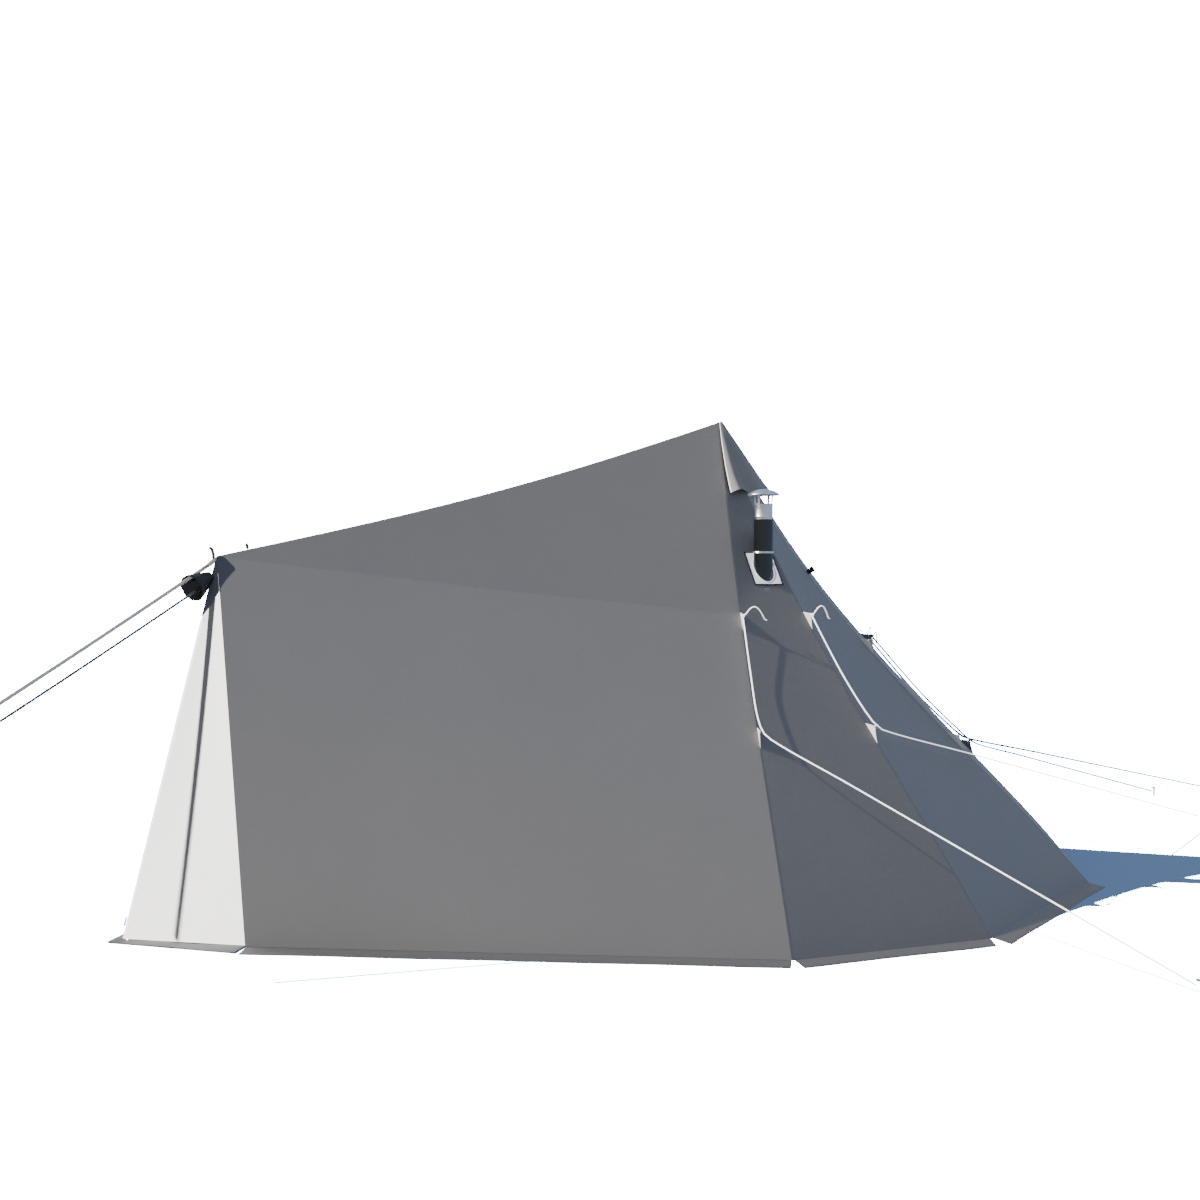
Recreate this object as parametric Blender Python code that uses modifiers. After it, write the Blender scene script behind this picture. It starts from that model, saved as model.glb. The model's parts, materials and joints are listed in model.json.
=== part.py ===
"""Tipi tent with a raised front end, a stove jack and pipe, ground flaps and guy lines.

Metres, +Z up. The origin is on the ground under the tall centre pole. -Y is the
front, where the short pole and the two door halves are; the round end is at +Y.
"""
import math

import bmesh
import bpy
from mathutils import Matrix, Vector

# ---------------------------------------------------------------- dimensions
HEIGHT = 2.40            # peak above the ground
RADIUS = 1.96            # corners of the round end, from the centre pole
CORNERS = (60.5, 88.0, 122.0, 151.0, 180.0)   # degrees from the front, right side
HOLLOW = (0.15, 0.13, 0.19, 0.17, 0.17)       # how far each corner seam bows inwards
PEAK_Z = 2.375           # the roof panels run up to here
TOP_Z = 2.28             # the round end's panels end here, under the apex hood
EAVE_Z = 1.341           # where roof and side wall meet on the first corner seam
FRONT_TOP = Vector((0.0, -2.797, 1.632))      # top of the short front pole
FRONT_FOOT = Vector((0.362, -2.790, 0.0))     # front corner of the side wall
PROW = Vector((0.0, -3.205, 0.0))             # where the two door halves meet the ground
RIDGE_SAG = 0.049        # the ridge hangs this much below a straight line
CLOTH = 0.002            # cloth thickness
SEAM_GAP = 0.004         # each panel stops this short of the seam line
DOOR_TOP = 1.37          # the door halves end here, under the front peak hood
DOOR_CLEAR = 0.006       # gap under the door halves
FLAP_WIDE = 0.094        # ground flap, outwards from the wall
FLAP_THICK = 0.003
POLE_R = 0.019           # centre pole's lower tube, outside
FRONT_POLE_R = 0.016
POLE_WALL = 0.0018
PIPE_AT = (0.516, -0.113)
PIPE_R = 0.050
HOLE_R = 0.053
CORD_THIN = 0.007
CORD_THICK = 0.014


# ---------------------------------------------------------------- set-up
for old in list(bpy.data.objects):
    bpy.data.objects.remove(old, do_unlink=True)

parts = bpy.data.collections.new("tipi_tent")
tools = bpy.data.collections.new("cutters")
bpy.context.scene.collection.children.link(parts)
bpy.context.scene.collection.children.link(tools)


def material(name, colour, rough, metal=0.0):
    mat = bpy.data.materials.new(name)
    mat.use_nodes = True
    shader = mat.node_tree.nodes["Principled BSDF"]
    shader.inputs["Base Color"].default_value = (*colour, 1)
    shader.inputs["Roughness"].default_value = rough
    shader.inputs["Metallic"].default_value = metal
    return mat


CANVAS = material("canvas", (0.26, 0.26, 0.262), 0.85)
DOOR_CLOTH = material("door_cloth", (0.26, 0.26, 0.262), 0.85)
FLAP_CLOTH = material("flap_cloth", (0.25, 0.24, 0.23), 0.9)
ALLOY = material("pole_alloy", (0.55, 0.56, 0.57), 0.35, 0.9)
PLASTIC = material("black_plastic", (0.02, 0.02, 0.022), 0.5)
STEEL = material("pipe_steel", (0.62, 0.63, 0.64), 0.3, 1.0)
SLEEVE = material("pipe_sleeve", (0.03, 0.033, 0.036), 0.6)
JACK = material("jack_cloth", (0.75, 0.76, 0.78), 0.7)
EDGING = material("jack_edging", (0.03, 0.04, 0.06), 0.8)
ROPE = material("rope", (0.62, 0.60, 0.56), 0.8)
ZIP = material("zip", (0.05, 0.05, 0.055), 0.6)


def add(name, mesh_or_curve, mat, smooth=False):
    obj = bpy.data.objects.new(name, mesh_or_curve)
    obj.data.materials.append(mat)
    parts.objects.link(obj)
    if smooth and obj.type == "MESH":
        obj.data.shade_smooth()
        obj.data.set_sharp_from_angle(angle=math.radians(35))
    return obj


def lerp(a, b, t):
    return a + (b - a) * t


# ---------------------------------------------------------------- canopy lines
def corner(k, z, side=1):
    """A point on corner seam k of the round end at height z; side -1 is the left side."""
    s = z / HEIGHT
    r = RADIUS * (1 - s) - HOLLOW[k] * math.sin(math.pi * s**1.3)
    a = math.radians(CORNERS[k])
    return Vector((side * r * math.sin(a), -r * math.cos(a), z))


def ridge(t):
    """The ridge from the front peak (t 0) to the top of the canopy (t 1)."""
    end = Vector((0.0, 0.0, HEIGHT))
    p = lerp(FRONT_TOP, end, t)
    p.z -= RIDGE_SAG * math.sin(math.pi * t)
    return p


def seam(t, side=1):
    """The seam between roof and side wall, from the front peak to the first corner seam."""
    p = lerp(FRONT_TOP, corner(0, EAVE_Z), t)
    return Vector((side * p.x, p.y, p.z))


def edge_up(v, side=1):
    """The first corner seam, from just under the peak (v 0) down to the eave (v 1)."""
    return corner(0, lerp(PEAK_Z, EAVE_Z, v), side)


def edge_down(v, side=1):
    """The first corner seam, from the eave (v 0) to the ground (v 1)."""
    return corner(0, lerp(EAVE_Z, 0.0, v), side)


def roof_point(u, v, side=1):
    top, low = ridge(u * 0.985), seam(u, side)
    bow = edge_up(v, side) - lerp(edge_up(0, side), edge_up(1, side), v)
    p = lerp(top, low, v) + bow * u
    if u > 0.9:
        p = lerp(p, edge_up(v, side), (u - 0.9) / 0.1)
    return p


def foot(side=1):
    return Vector((side * FRONT_FOOT.x, FRONT_FOOT.y, 0.0))


def wall_point(u, v, side=1):
    top = seam(u, side)
    low = lerp(foot(side), corner(0, 0.0, side), u)
    bow = edge_down(v, side) - lerp(edge_down(0, side), edge_down(1, side), v)
    return lerp(top, low, v) + bow * u


def facet_point(k, u, z, side=1):
    if k < 4:
        return lerp(corner(k, z, side), corner(k + 1, z, side), u)
    raise ValueError(k)


def door_point(u, z, side=1):
    """u 0 is the hinge line up the wall's front edge, u 1 the zip line."""
    t = z / FRONT_TOP.z
    hinge_line = lerp(foot(side), FRONT_TOP, t)
    zip_line = lerp(PROW, FRONT_TOP, t)
    return lerp(hinge_line, zip_line, u)


# ---------------------------------------------------------------- sheets
def sheet(name, rows, outward, mat, thick=CLOTH):
    """A cloth panel from rows of points, thickened inwards, away from outward."""
    bm = bmesh.new()
    grid = [[bm.verts.new(p) for p in row] for row in rows]
    faces = []
    for r0, r1 in zip(grid, grid[1:]):
        for i in range(len(r0) - 1):
            faces.append(bm.faces.new((r0[i], r0[i + 1], r1[i + 1], r1[i])))
    bm.normal_update()
    total = Vector()
    for face in faces:
        total += face.normal * face.calc_area()
    if total.dot(outward) < 0:
        bmesh.ops.reverse_faces(bm, faces=faces)
    mesh = bpy.data.meshes.new(name)
    bm.to_mesh(mesh)
    bm.free()
    obj = add(name, mesh, mat)
    solid = obj.modifiers.new("thickness", "SOLIDIFY")
    solid.thickness = thick
    solid.offset = -1
    return obj


def steps(a, b, n):
    return [a + (b - a) * i / n for i in range(n + 1)]


def inset(a, b):
    """Shares along a line from a to b that keep SEAM_GAP clear at both ends."""
    e = min(0.3, SEAM_GAP / max((a - b).length, 1e-6))
    return e, 1 - e


def roof(name, side):
    rows = []
    for u in steps(0.05, 0.985, 6):
        a, b = roof_point(u, 0, side), roof_point(u, 1, side)
        e0, e1 = inset(a, b)
        rows.append([roof_point(u, v, side) for v in steps(2.2 * e0, e1, 3)])
    return sheet(name, rows, Vector((side * 1.0, 0, 1)), CANVAS)


def wall(name, side):
    rows = []
    for v in steps(0.004, 0.9995, 4):
        a, b = wall_point(0, v, side), wall_point(1, v, side)
        e0, e1 = inset(a, b)
        rows.append([wall_point(u, v, side) for u in steps(e0 + 0.012, e1, 4)])
    return sheet(name, rows, Vector((side * 1.0, -0.3, 0.3)), CANVAS)


def facet(name, k, side):
    rows = []
    for z in [0.0006, 0.35, 0.75, 1.15, 1.50, 1.80, 2.05, TOP_Z]:
        a, b = corner(k, z, side), corner(k + 1, z, side)
        e0, e1 = inset(a, b)
        rows.append([facet_point(k, e0, z, side), facet_point(k, e1, z, side)])
    mid = corner(k, 0, side) + corner(k + 1, 0, side)
    return sheet(name, rows, mid, CANVAS)


def door(name, side):
    rows = []
    for z in steps(DOOR_CLEAR, DOOR_TOP, 2):
        a, b = door_point(0, z, side), door_point(1, z, side)
        e0, e1 = inset(a, b)
        rows.append([door_point(2 * e0, z, side), door_point(e1, z, side)])
    return sheet(name, rows, Vector((side * 0.75, -0.66, 0.1)), DOOR_CLOTH)


def flap(name, a, b, outward):
    """A ground flap: a flat strip from the foot of a panel, between ground points a and b."""
    along = (b - a).normalized()
    out = Vector((outward.x, outward.y, 0)).normalized()
    out = (out - along * out.dot(along)).normalized()
    length = (b - a).length
    bm = bmesh.new()
    bmesh.ops.create_cube(bm, size=1.0)
    bm.transform(Matrix.Diagonal((length - 0.03, FLAP_WIDE, FLAP_THICK, 1)))
    mesh = bpy.data.meshes.new(name)
    bm.to_mesh(mesh)
    bm.free()
    obj = add(name, mesh, FLAP_CLOTH)
    turn = Matrix((along, out, along.cross(out))).transposed()
    if turn.determinant() < 0:
        turn = Matrix((along, out, -along.cross(out))).transposed()
    centre = (a + b) / 2 + out * (0.006 + FLAP_WIDE / 2) + Vector((0, 0, FLAP_THICK / 2))
    obj.matrix_world = Matrix.Translation(centre) @ turn.to_4x4()
    return obj


SIDES = ((1, "right"), (-1, "left"))
FACETS = ("front", "middle", "rear", "back")
for side, word in SIDES:
    roof(f"roof_panel_{word}", side)
    wall(f"wall_panel_{word}", side)
    for k, place in enumerate(FACETS):
        facet(f"{place}_facet_{word}", k, side)
        if k < 2:
            a, b = corner(k, 0, side), corner(k + 1, 0, side)
            flap(f"ground_flap_{place}_{word}", a, b, a + b)
    door(f"door_half_{word}", side)
    c0 = corner(0, 0, side)
    flap(f"ground_flap_wall_{word}", foot(side), c0, Vector((side * 1.82, -1.34, 0)))


# ---------------------------------------------------------------- turned pieces
def turned(name, profile, at, mat, turns=24):
    """A solid of revolution about +Z through at. The profile runs down the outer side."""
    mesh = bpy.data.meshes.new(name)
    pts = [(r, 0.0, z) for r, z in profile]
    mesh.from_pydata(pts, [(i, i + 1) for i in range(len(pts) - 1)], [])
    obj = add(name, mesh, mat)
    obj.location = at
    screw = obj.modifiers.new("turn", "SCREW")
    screw.axis = "Z"
    screw.steps = turns
    screw.render_steps = turns
    screw.use_merge_vertices = True
    screw.merge_threshold = 0.00002
    return obj


def tube(name, outer, inner, low, high, at, mat, turns=20):
    """An open tube: closed profile loop turned round the axis."""
    bm = bmesh.new()
    ring = [(outer, high), (outer, low), (inner, low), (inner, high)]
    verts = [bm.verts.new((r, 0, z)) for r, z in ring]
    edges = [bm.edges.new((verts[i], verts[(i + 1) % 4])) for i in range(4)]
    bmesh.ops.spin(bm, geom=verts + edges, axis=(0, 0, 1), cent=(0, 0, 0), steps=turns,
                   angle=2 * math.pi, use_merge=True)
    bmesh.ops.remove_doubles(bm, verts=bm.verts, dist=1e-5)
    bmesh.ops.recalc_face_normals(bm, faces=bm.faces)
    mesh = bpy.data.meshes.new(name)
    bm.to_mesh(mesh)
    bm.free()
    obj = add(name, mesh, mat, smooth=True)
    obj.location = at
    return obj


def pole(word, at, outer, low, top):
    """A two-section pole: the upper tube, closed by a round tip, pushes into the lower one."""
    x, y = at
    split = top * 0.52
    inner = outer - POLE_WALL
    if low > 0.001:
        tube(f"{word}_pole_lower", outer, inner, low, split, (x, y, 0), ALLOY, 16)
    else:
        turned(f"{word}_pole_lower", [(0, 0.030), (inner, 0.030), (inner, split), (outer, split),
                                      (outer, 0.0), (0, 0.0)], (x, y, 0), ALLOY, 16)
    slim = inner - 0.0005
    turned(f"{word}_pole_upper",
           [(0, top), (slim * 0.6, top - 0.002), (slim, top - 0.012), (slim, split - 0.15),
            (slim - 0.0015, split - 0.15), (slim - 0.0015, top - 0.03), (0, top - 0.03)],
           (x, y, 0), ALLOY, 16)


turned("centre_pole_foot",
       [(0, 0.032), (POLE_R - 0.0026, 0.032), (POLE_R - 0.0026, 0.0190), (POLE_R + 0.008, 0.0190),
        (POLE_R + 0.012, 0.012), (POLE_R + 0.020, 0.0), (0, 0.0)], (0, 0, 0), PLASTIC)
pole("centre", (0.0, 0.0), POLE_R, 0.0195, 2.330)
pole("front", (0.0, -2.750), FRONT_POLE_R, 0.0, 1.572)


# ---------------------------------------------------------------- peak cap and hoods
def cone_shell(name, apex, low, angles, r_at, mat, thick=CLOTH, rows=4, bow=0.0):
    """Part of a cone under apex: the lower edge is at height low, radius r_at(angle)."""
    grid = []
    for j in range(rows + 1):
        t = 0.06 + (1 - 0.06) * j / rows
        line = []
        for a in angles:
            r = r_at(a) * t + bow * math.sin(math.pi * t)
            z = apex.z + (low - apex.z) * t
            line.append(Vector((apex.x + r * math.sin(math.radians(a)),
                                apex.y - r * math.cos(math.radians(a)), z)))
        grid.append(line)
    return sheet(name, grid, Vector((0, 1.0, 0.6)), mat, thick)


HOOD_ANGLES = [57.0 + (303.0 - 57.0) * i / 16 for i in range(17)]
cone_shell("apex_hood", Vector((0, 0, 2.425)), 1.985, HOOD_ANGLES,
           lambda a: 0.315 - 0.045 * abs(a - 180) / 123, CANVAS)
turned("peak_pocket", [(0, 2.372), (0.007, 2.370), (0.015, 2.356), (0.030, 2.300), (0.027, 2.300),
                       (0.012, 2.350), (0, 2.352)], (0, 0, 0), CANVAS, turns=16)


def front_hood(name):
    """The reinforcing hood over the front peak: a folded sheet with two long points."""
    out = Vector((0, -1, 0))
    rows = []
    for z, ext in ((FRONT_TOP.z + 0.012, 0.004), (1.56, 0.006), (1.48, 0.008), (DOOR_TOP + 0.016, 0.010)):
        left, right = [], []
        for side in (-1, 1):
            hinge_pt = door_point(0, min(z, 1.615), side)
            zip_pt = door_point(1, min(z, 1.615), side)
            face_out = Vector((side * 0.75, -0.66, 0)).normalized() * ext
            back = Vector((side * 0.020, 0.060, 0))
            pts = [hinge_pt + back + face_out, hinge_pt + face_out * 1.2,
                   (hinge_pt + zip_pt) / 2 + face_out]
            pts = [Vector((p.x, p.y, z)) for p in pts]
            if side < 0:
                left = pts
            else:
                right = pts[::-1]
        prow = door_point(1, min(z, 1.615), 1) + out * (ext * 1.4 + 0.004)
        rows.append(left + [Vector((0, prow.y, z))] + right)
    return sheet(name, rows, Vector((0, -1, 0)), CANVAS, 0.0018)


front_hood("front_peak_hood")


# ---------------------------------------------------------------- stove jack and pipe
def cutter(name, radius, low, high, at):
    bm = bmesh.new()
    bmesh.ops.create_cone(bm, cap_ends=True, segments=28, radius1=radius, radius2=radius,
                          depth=high - low)
    mesh = bpy.data.meshes.new(name)
    bm.to_mesh(mesh)
    bm.free()
    obj = bpy.data.objects.new(name, mesh)
    obj.location = (at[0], at[1], (high + low) / 2)
    obj.hide_render = True
    obj.display_type = "WIRE"
    tools.objects.link(obj)
    return obj


def cut(obj, tool):
    mod = obj.modifiers.new("cut", "BOOLEAN")
    mod.operation = "DIFFERENCE"
    mod.object = tool


hole = cutter("pipe_hole", HOLE_R, 1.2, 2.0, PIPE_AT)
cut(bpy.data.objects["front_facet_right"], hole)


def facet_frame(k, z, u):
    """Centre, across, up-slope and outward directions on facet k near height z."""
    c = facet_point(k, u, z)
    across = (facet_point(k, 1, z) - facet_point(k, 0, z)).normalized()
    up = (facet_point(k, u, z + 0.06) - facet_point(k, u, z - 0.06)).normalized()
    return c, across, up, across.cross(up).normalized()


JACK_Z, JACK_U = 1.583, 0.618


def slab(name, wide, tall, low, high):
    """A thin slab lying along facet 0 at the stove jack, its faces low and high above the cloth."""
    c, across, up, out = facet_frame(0, JACK_Z, JACK_U)
    if out.x < 0:
        out = -out
    if across.cross(up).dot(out) < 0:
        across = -across
    bm = bmesh.new()
    bmesh.ops.create_cube(bm, size=1.0)
    lie = Matrix((across * wide, up * tall, out * (high - low))).transposed().to_4x4()
    bm.transform(Matrix.Translation(out * (low + high) / 2) @ lie)
    mesh = bpy.data.meshes.new(name)
    bm.to_mesh(mesh)
    bm.free()
    obj = bpy.data.objects.new(name, mesh)
    obj.location = c
    return obj


def jack_sheet(name, wide, tall, low, high, mat, tool):
    obj = slab(name, wide, tall, low, high)
    obj.data.materials.append(mat)
    parts.objects.link(obj)
    cut(obj, tool)
    return obj


JACK_W, JACK_T = 0.143, 0.196
jack_sheet("stove_jack", JACK_W, JACK_T, 0.010, 0.012, JACK, hole)
window = slab("edging_window", JACK_W + 0.001, JACK_T + 0.001, -0.05, 0.15)
window.hide_render = True
window.display_type = "WIRE"
tools.objects.link(window)
jack_sheet("stove_jack_edging", JACK_W + 0.013, JACK_T + 0.013, 0.010, 0.013, EDGING, window)

px, py = PIPE_AT
tube("pipe_sleeve", PIPE_R, PIPE_R - 0.004, 1.20, 1.828, (px, py, 0), SLEEVE, 28)
tube("pipe_clamp", PIPE_R + 0.0027, PIPE_R + 0.0004, 1.650, 1.660, (px, py, 0), STEEL, 28)
tube("pipe_top_section", PIPE_R - 0.0055, PIPE_R - 0.0075, 1.770, 1.905, (px, py, 0), STEEL, 28)


def rain_cap(name):
    """The cap: a shallow dome on three legs that stand in a band round the pipe."""
    bm = bmesh.new()
    bmesh.ops.create_cone(bm, cap_ends=True, segments=28, radius1=0.0825, radius2=0.020, depth=0.036)
    bmesh.ops.translate(bm, verts=bm.verts, vec=(0, 0, 1.971))
    dome = bpy.data.meshes.new(name)
    bm.to_mesh(dome)
    bm.free()
    obj = add(name, dome, STEEL)
    obj.location = (px, py, 0)
    bm = bmesh.new()
    verts = [bm.verts.new((r, 0, z)) for r, z in
             ((0.049, 1.912), (0.049, 1.845), (0.0452, 1.845), (0.0452, 1.912))]
    edges = [bm.edges.new((verts[i], verts[(i + 1) % 4])) for i in range(4)]
    bmesh.ops.spin(bm, geom=verts + edges, axis=(0, 0, 1), cent=(0, 0, 0), steps=28,
                   angle=2 * math.pi, use_merge=True)
    bmesh.ops.remove_doubles(bm, verts=bm.verts, dist=1e-5)
    bmesh.ops.recalc_face_normals(bm, faces=bm.faces)
    band_mesh = bpy.data.meshes.new(name + "_band")
    bm.to_mesh(band_mesh)
    bm.free()
    pieces = [bpy.data.objects.new(name + "_band", band_mesh)]
    pieces[0].location = (px, py, 0)
    for i in range(3):
        a = math.radians(30 + 120 * i)
        bm = bmesh.new()
        bmesh.ops.create_cube(bm, size=1.0)
        bm.transform(Matrix.Rotation(a, 4, "Z") @ Matrix.Translation((0.0475, 0, 1.925))
                     @ Matrix.Diagonal((0.004, 0.016, 0.086, 1)))
        leg = bpy.data.meshes.new(f"{name}_leg{i}")
        bm.to_mesh(leg)
        bm.free()
        piece = bpy.data.objects.new(f"{name}_leg{i}", leg)
        piece.location = (px, py, 0)
        pieces.append(piece)
    for piece in pieces:
        piece.hide_render = True
        piece.display_type = "WIRE"
        tools.objects.link(piece)
        mod = obj.modifiers.new("join", "BOOLEAN")
        mod.operation = "UNION"
        mod.object = piece
    return obj


rain_cap("rain_cap")


# ---------------------------------------------------------------- front vent
def vent(name, start, finish, rules, side_dir):
    """A black cowl: a short trumpet from start to finish, open at both ends."""
    bm = bmesh.new()
    rings = []
    axis = (finish - start).normalized()
    up = side_dir.cross(axis).normalized()
    for shell, shrink in ((0, 0.0), (1, 0.004)):
        line = []
        for t, r in rules:
            centre = lerp(start, finish, t)
            line.append([bm.verts.new(centre + side_dir * (r - shrink) * math.cos(w)
                                      + up * (r - shrink) * math.sin(w) * 1.1)
                         for w in [2 * math.pi * i / 20 for i in range(20)]])
        rings.append(line)
    outer, inner = rings
    for line in (outer, inner):
        for a, b in zip(line, line[1:]):
            for i in range(20):
                j = (i + 1) % 20
                bm.faces.new((a[i], a[j], b[j], b[i]))
    for i in range(20):
        j = (i + 1) % 20
        bm.faces.new((outer[0][i], outer[0][j], inner[0][j], inner[0][i]))
        bm.faces.new((outer[-1][i], outer[-1][j], inner[-1][j], inner[-1][i]))
    bmesh.ops.recalc_face_normals(bm, faces=bm.faces)
    mesh = bpy.data.meshes.new(name)
    bm.to_mesh(mesh)
    bm.free()
    return add(name, mesh, PLASTIC, smooth=True)


vent("front_vent_cowl", Vector((0, -2.869, 1.508)), Vector((0, -2.936, 1.464)),
     ((0.0, 0.025), (0.35, 0.027), (0.7, 0.032), (1.0, 0.037)), Vector((1, 0, 0)))
rear_out = Vector((0.72, 0.42, 0.55)).normalized()
rear_at = facet_point(2, 0.06, 1.545)
vent("rear_vent_cowl", rear_at + rear_out * 0.012, rear_at + rear_out * 0.042,
     ((0.0, 0.0130), (0.35, 0.0136), (0.7, 0.0155), (1.0, 0.0175)), rear_out.orthogonal().normalized())


# ---------------------------------------------------------------- zip
def strip(name, a, b, wide, thick, offset, mat):
    """A thin strip along the line a to b; wide lies along X, offset is outwards."""
    along = (b - a).normalized()
    across = Vector((1, 0, 0))
    out = across.cross(along).normalized()
    if out.y > 0:
        out = -out
    bm = bmesh.new()
    bmesh.ops.create_cube(bm, size=1.0)
    bm.transform(Matrix.Diagonal((wide, thick, (b - a).length, 1)))
    mesh = bpy.data.meshes.new(name)
    bm.to_mesh(mesh)
    bm.free()
    obj = add(name, mesh, mat)
    turn = Matrix((across, along.cross(across), along)).transposed()
    obj.matrix_world = Matrix.Translation((a + b) / 2 + offset + out * (0.004 + thick / 2)) @ turn.to_4x4()
    return obj


strip("zip_slider", door_point(1, 0.06), door_point(1, 0.095), 0.014, 0.005,
      Vector((0, -0.0030, 0)), STEEL)


# ---------------------------------------------------------------- guy lines and pegs
def smooth_line(keys, n):
    """n points, evenly placed along a smooth curve through the keys."""
    pts = []
    for i in range(len(keys) - 1):
        p0 = keys[max(i - 1, 0)]
        p1, p2 = keys[i], keys[i + 1]
        p3 = keys[min(i + 2, len(keys) - 1)]
        m1 = (p2 - p0) * 0.5 * min(1, (p2 - p1).length / max((p2 - p0).length / 2, 1e-9))
        m2 = (p3 - p1) * 0.5 * min(1, (p2 - p1).length / max((p3 - p1).length / 2, 1e-9))
        for j in range(40):
            t = j / 40
            pts.append(p1 * (2 * t**3 - 3 * t**2 + 1) + m1 * (t**3 - 2 * t**2 + t)
                       + p2 * (-2 * t**3 + 3 * t**2) + m2 * (t**3 - t**2))
    pts.append(keys[-1])
    total = sum((b - a).length for a, b in zip(pts, pts[1:]))
    out, need, run = [pts[0]], total / n, 0.0
    for a, b in zip(pts, pts[1:]):
        seg = (b - a).length
        while run + seg >= need * len(out) and len(out) < n:
            out.append(lerp(a, b, (need * len(out) - run) / max(seg, 1e-9)))
        run += seg
    out.append(pts[-1])
    return out


def cord(name, keys, diameter, n, mat=ROPE):
    curve = bpy.data.curves.new(name, "CURVE")
    curve.dimensions = "3D"
    line = smooth_line(keys, n)
    spline = curve.splines.new("POLY")
    spline.points.add(len(line) - 1)
    for point, p in zip(spline.points, line):
        point.co = (*p, 1)
    curve.bevel_depth = diameter / 2
    curve.bevel_resolution = 2
    curve.use_fill_caps = True
    return add(name, curve, mat)


def outward(k, z, push, side=1):
    p = corner(k, z)
    a = math.radians(CORNERS[k])
    p += Vector((math.sin(a), -math.cos(a), 0.35)).normalized() * push
    return Vector((side * p.x, p.y, p.z))


TIE_HIGH, TIE_LOW = 1.335, 0.815
PEG_H = 0.060


def guy(name, k, peg_at, side, low=TIE_LOW, high=TIE_HIGH):
    """From the upper tie-out down to the ring at the lower one, and out to the peg."""
    top, mid = outward(k, high, 0.030, side), outward(k, low, 0.062, side)
    hold = Vector((side * peg_at[0], peg_at[1], 0.030))
    away = (hold - mid).normalized()
    keys = [top, lerp(top, mid, 0.5), lerp(top, mid, 0.88), mid + away * 0.05,
            lerp(mid, hold, 0.25), lerp(mid, hold, 0.6), hold - away * 0.016]
    return cord(name, keys, CORD_THIN, 30)


def peg(name, at, toward):
    """A hooked ground peg, seen above the ground, leaning away from its guy line."""
    lean = Vector((at[0] - toward[0], at[1] - toward[1], 0)).normalized()
    base = Vector((at[0], at[1], 0.0))
    bm = bmesh.new()
    bmesh.ops.create_cone(bm, cap_ends=True, segments=12, radius1=0.0065, radius2=0.0065, depth=PEG_H)
    bmesh.ops.translate(bm, verts=bm.verts, vec=(0, 0, PEG_H / 2))
    mesh = bpy.data.meshes.new(name)
    bm.to_mesh(mesh)
    bm.free()
    obj = add(name, mesh, STEEL, smooth=True)
    head = bpy.data.meshes.new(name + "_head")
    bm = bmesh.new()
    bmesh.ops.create_cube(bm, size=1.0)
    angle = math.atan2(-lean.y, -lean.x)
    bm.transform(Matrix.Rotation(angle, 4, "Z") @ Matrix.Translation((0.011, 0, PEG_H - 0.004))
                 @ Matrix.Diagonal((0.034, 0.012, 0.008, 1)))
    bm.to_mesh(head)
    bm.free()
    top = bpy.data.objects.new(name + "_head", head)
    top.location = base + lean * 0.0145
    top.hide_render = True
    top.display_type = "WIRE"
    tools.objects.link(top)
    obj.location = base + lean * 0.0145
    mod = obj.modifiers.new("join", "BOOLEAN")
    mod.operation = "UNION"
    mod.object = top
    return obj


def loop(name, major, minor, centre, along, mat):
    """A small closed ring whose hole faces sideways; the rope's end meets its rim."""
    bm = bmesh.new()
    verts = [bm.verts.new((major + minor * math.cos(w), 0, minor * math.sin(w)))
             for w in [2 * math.pi * i / 8 for i in range(8)]]
    edges = [bm.edges.new((verts[i], verts[(i + 1) % 8])) for i in range(8)]
    bmesh.ops.spin(bm, geom=verts + edges, axis=(0, 0, 1), cent=(0, 0, 0), steps=16,
                   angle=2 * math.pi, use_merge=True)
    bmesh.ops.remove_doubles(bm, verts=bm.verts, dist=1e-5)
    bmesh.ops.recalc_face_normals(bm, faces=bm.faces)
    mesh = bpy.data.meshes.new(name)
    bm.to_mesh(mesh)
    bm.free()
    obj = add(name, mesh, mat, smooth=True)
    obj.matrix_world = Matrix.Translation(centre) @ Matrix.Rotation(math.pi / 2, 4, "Y")
    return obj


# seam number, peg on the ground on the right and on the left, lower and upper tie-out heights
GUYS = (("front_corner", 0, (2.790, 0.060), (2.790, 0.060), TIE_LOW, TIE_HIGH),
        ("side_corner", 1, (1.270, 2.800), (2.740, 1.250), TIE_LOW, TIE_HIGH),
        ("rear_corner", 2, (0.720, 3.740), (2.200, 2.600), 0.695, 1.180),
        ("back_corner", 3, (0.620, 3.290), (1.200, 3.000), 0.560, 1.180))
for place, k, right_peg, left_peg, low, high in GUYS:
    for side, word in SIDES:
        at = right_peg if side > 0 else left_peg
        guy(f"guy_{place}_{word}", k, at, side, low, high)
        start = outward(k, low, 0.062, side)
        peg(f"peg_{place}_{word}", (side * at[0], at[1]), (start.x, start.y))

# the two lines that hold the front peak run forwards side by side and end in loops
FRONT_GUYS = (("main", (0.0, -2.835, 1.591), (0.0, -3.750, 0.975), CORD_THICK, 0.020),
              ("light", (0.0, -2.890, 1.479), (0.0, -3.750, 0.904), CORD_THIN, 0.014))
for word, start, end, thick, size in FRONT_GUYS:
    first, last = Vector(start), Vector(end)
    away = (last - first).normalized()
    cord(f"front_guy_{word}", [first, lerp(first, last, 0.35), lerp(first, last, 0.7), last],
         thick, 24)
    loop(f"front_guy_loop_{word}", size, thick * 0.3,
         last + away * (size + thick * 0.3 + 0.0006), away, ROPE)
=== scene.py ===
"""The finished look of the tipi tent, in metres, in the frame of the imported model."""
import json
import math

import bmesh
import bpy
from mathutils import Matrix, Vector

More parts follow.
